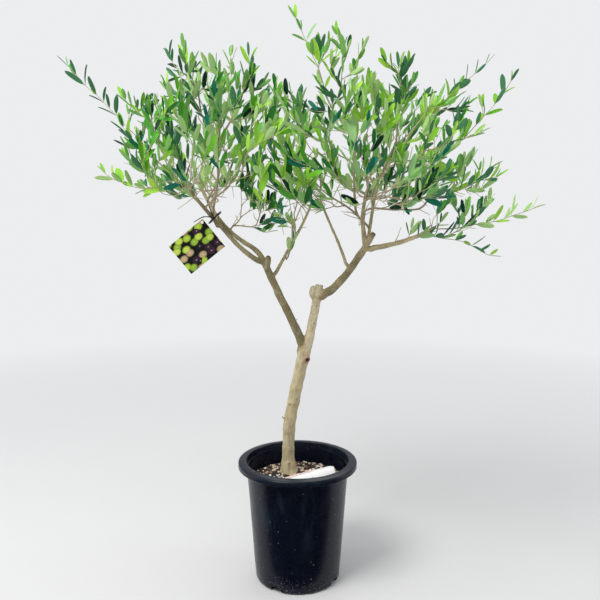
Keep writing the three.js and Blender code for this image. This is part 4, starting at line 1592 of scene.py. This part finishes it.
class OLIVE_OT_stage(Operator):
    """Sets the camera, the pale floor with its backdrop, and soft lights"""

    bl_idname = "olive.stage"
    bl_label = "Stage"

    def execute(self, context):
        settings = context.scene.olive_stage
        self.camera(context, settings)
        self.backdrop(settings)
        self.lights(context)
        return {"FINISHED"}

    @staticmethod
    def camera(context, settings):
        """A camera a little above the pot, looking down at the whole tree."""
        data = bpy.data.cameras.new("camera")
        data.lens = settings.lens
        data.sensor_width = 36
        camera = bpy.data.objects.new("camera", data)
        camera.location = (5 * MM, -settings.distance, settings.height)
        camera.rotation_euler = (math.pi / 2 - settings.tilt, 0, 0)
        context.scene.collection.objects.link(camera)
        context.scene.camera = camera

    @staticmethod
    def backdrop(settings):
        """A wide pale floor that runs into the backdrop, and dark cards that only reflections see."""
        clear_selection()
        bpy.ops.mesh.primitive_circle_add(vertices=96, radius=60, fill_type="NGON",
                                          location=(0, 0, -0.2 * MM))
        floor = bpy.context.object
        settle(floor, "floor")
        material, tree, shader = new_material("floor_paper", Roughness=0.95, Specular_IOR_Level=0.0,
                                              Emission_Strength=1.0)
        place = object_place(tree)
        mottle = use_group(tree, mottle_group(), Vector=place, Scale=3.0, Contrast=0.3)
        away = add_node(tree, "ShaderNodeVectorMath", {0: place}, operation="LENGTH")
        far = ranged(tree, away.outputs["Value"], 0.45, 2.6)
        low = tuple(0.985 * c for c in settings.floor)
        paper = mixed(tree, mottle, low, settings.floor)
        feed(tree, shader, Base_Color=mixed(tree, far, paper, (0.0, 0.0, 0.0)),
             Emission_Color=mixed(tree, far, (0.0, 0.0, 0.0), BACKDROP))
        floor.data.materials.append(material)
        cloth = new_material("dark_cloth", Base_Color=(0.01, 0.01, 0.011), Roughness=1.0)[0]
        for name, location, turn, scale in (("dark_card", (0, -2.3, 1.0), math.pi / 2, (2.8, 2.4, 1)),
                                            ("dark_mat", (0, -1.60, 2 * MM), 0, (2.6, 3.0, 1))):
            clear_selection()
            bpy.ops.mesh.primitive_plane_add(size=1, location=location, rotation=(turn, 0, 0))
            card = bpy.context.object
            card.scale = scale
            settle(card, name)
            card.visible_camera = False
            card.visible_diffuse = False
            card.visible_shadow = False
            card.data.materials.append(cloth)

    @staticmethod
    def lights(context):
        """An even pale sky, a broad key from the upper left and long soft lights at both sides."""
        world = bpy.data.worlds.new("sky")
        world.use_nodes = True
        tree = world.node_tree
        place = add_node(tree, "ShaderNodeTexCoord").outputs["Generated"]
        height = add_node(tree, "ShaderNodeSeparateXYZ", {"Vector": place}).outputs["Z"]
        seen = tree.nodes.new("ShaderNodeLightPath").outputs["Is Camera Ray"]
        sky = ranged(tree, height, 0.05, 0.9, 0.48, 0.74)
        rest = maths(tree, "MULTIPLY", maths(tree, "SUBTRACT", 1.0, seen), sky)
        tree.links.new(maths(tree, "ADD", rest, seen), tree.nodes["Background"].inputs["Strength"])
        tree.nodes["Background"].inputs["Color"].default_value = (*BACKDROP, 1)
        context.scene.world = world
        rows = (  # name, place, aim, width, height, power, colour
            ("key", (-1.2, -1.2, 2.7), (0, 0, 0.7), 1.2, 1.2, 62, (1.0, 0.985, 0.95)),
            ("left_strip", (-1.9, -0.2, 0.9), (0, 0, 0.6), 0.5, 1.4, 5, (0.95, 0.98, 1.0)),
            ("right_strip", (1.9, 0.0, 0.9), (0, 0, 0.6), 0.5, 1.4, 5, (0.95, 0.98, 1.0)),
            ("back", (0.3, 1.8, 2.2), (0, 0, 0.8), 1.6, 1.0, 10, (1.0, 1.0, 0.97)),
        )
        for name, place, aim, width, height, power, colour in rows:
            data = bpy.data.lights.new(name, "AREA")
            data.shape = "RECTANGLE"
            data.size, data.size_y = width, height
            data.energy = power
            data.color = colour
            light = bpy.data.objects.new(name, data)
            light.location = place
            light.rotation_euler = (Vector(aim) - Vector(place)).to_track_quat("-Z", "Y").to_euler()
            context.scene.collection.objects.link(light)
        context.scene.view_settings.view_transform = "Standard"
        context.scene.view_settings.look = "None"


# ------------------------------------------------------------------ add-on


class OLIVE_PT_panel(Panel):
    """Lists the pieces of the tree"""

    bl_idname = "OLIVE_PT_panel"
    bl_label = "Olive tree"
    bl_space_type = "VIEW_3D"
    bl_region_type = "UI"
    bl_category = "Olive tree"

    def draw(self, context):
        for operator, settings in STEPS:
            column = self.layout.column(align=True)
            column.operator(operator)
            group = getattr(context.scene, settings)
            for key in group.__annotations__:
                column.prop(group, key)


STEPS = (
    ("olive.wood", "olive_wood"),
    ("olive.crown", "olive_crown"),
    ("olive.pot", "olive_pot"),
    ("olive.soil", "olive_soil"),
    ("olive.trim", "olive_trim"),
    ("olive.stage", "olive_stage"),
)
CLASSES = (
    *SETTINGS.values(),
    OLIVE_OT_wood,
    OLIVE_OT_crown,
    OLIVE_OT_pot,
    OLIVE_OT_soil,
    OLIVE_OT_trim,
    OLIVE_OT_stage,
    OLIVE_PT_panel,
)


def register():
    """Registers the classes and the scene's settings."""
    for cls in CLASSES:
        bpy.utils.register_class(cls)
    for name, group in SETTINGS.items():
        setattr(bpy.types.Scene, name, PointerProperty(type=group))


def unregister():
    """Removes the settings and the classes."""
    for name in SETTINGS:
        delattr(bpy.types.Scene, name)
    for cls in reversed(CLASSES):
        bpy.utils.unregister_class(cls)


def main():
    """Builds every piece in order."""
    register()
    bpy.ops.olive.wood()
    bpy.ops.olive.crown()
    bpy.ops.olive.pot()
    bpy.ops.olive.soil()
    bpy.ops.olive.trim()
    bpy.ops.olive.stage()


if __name__ == "__main__":
    main()
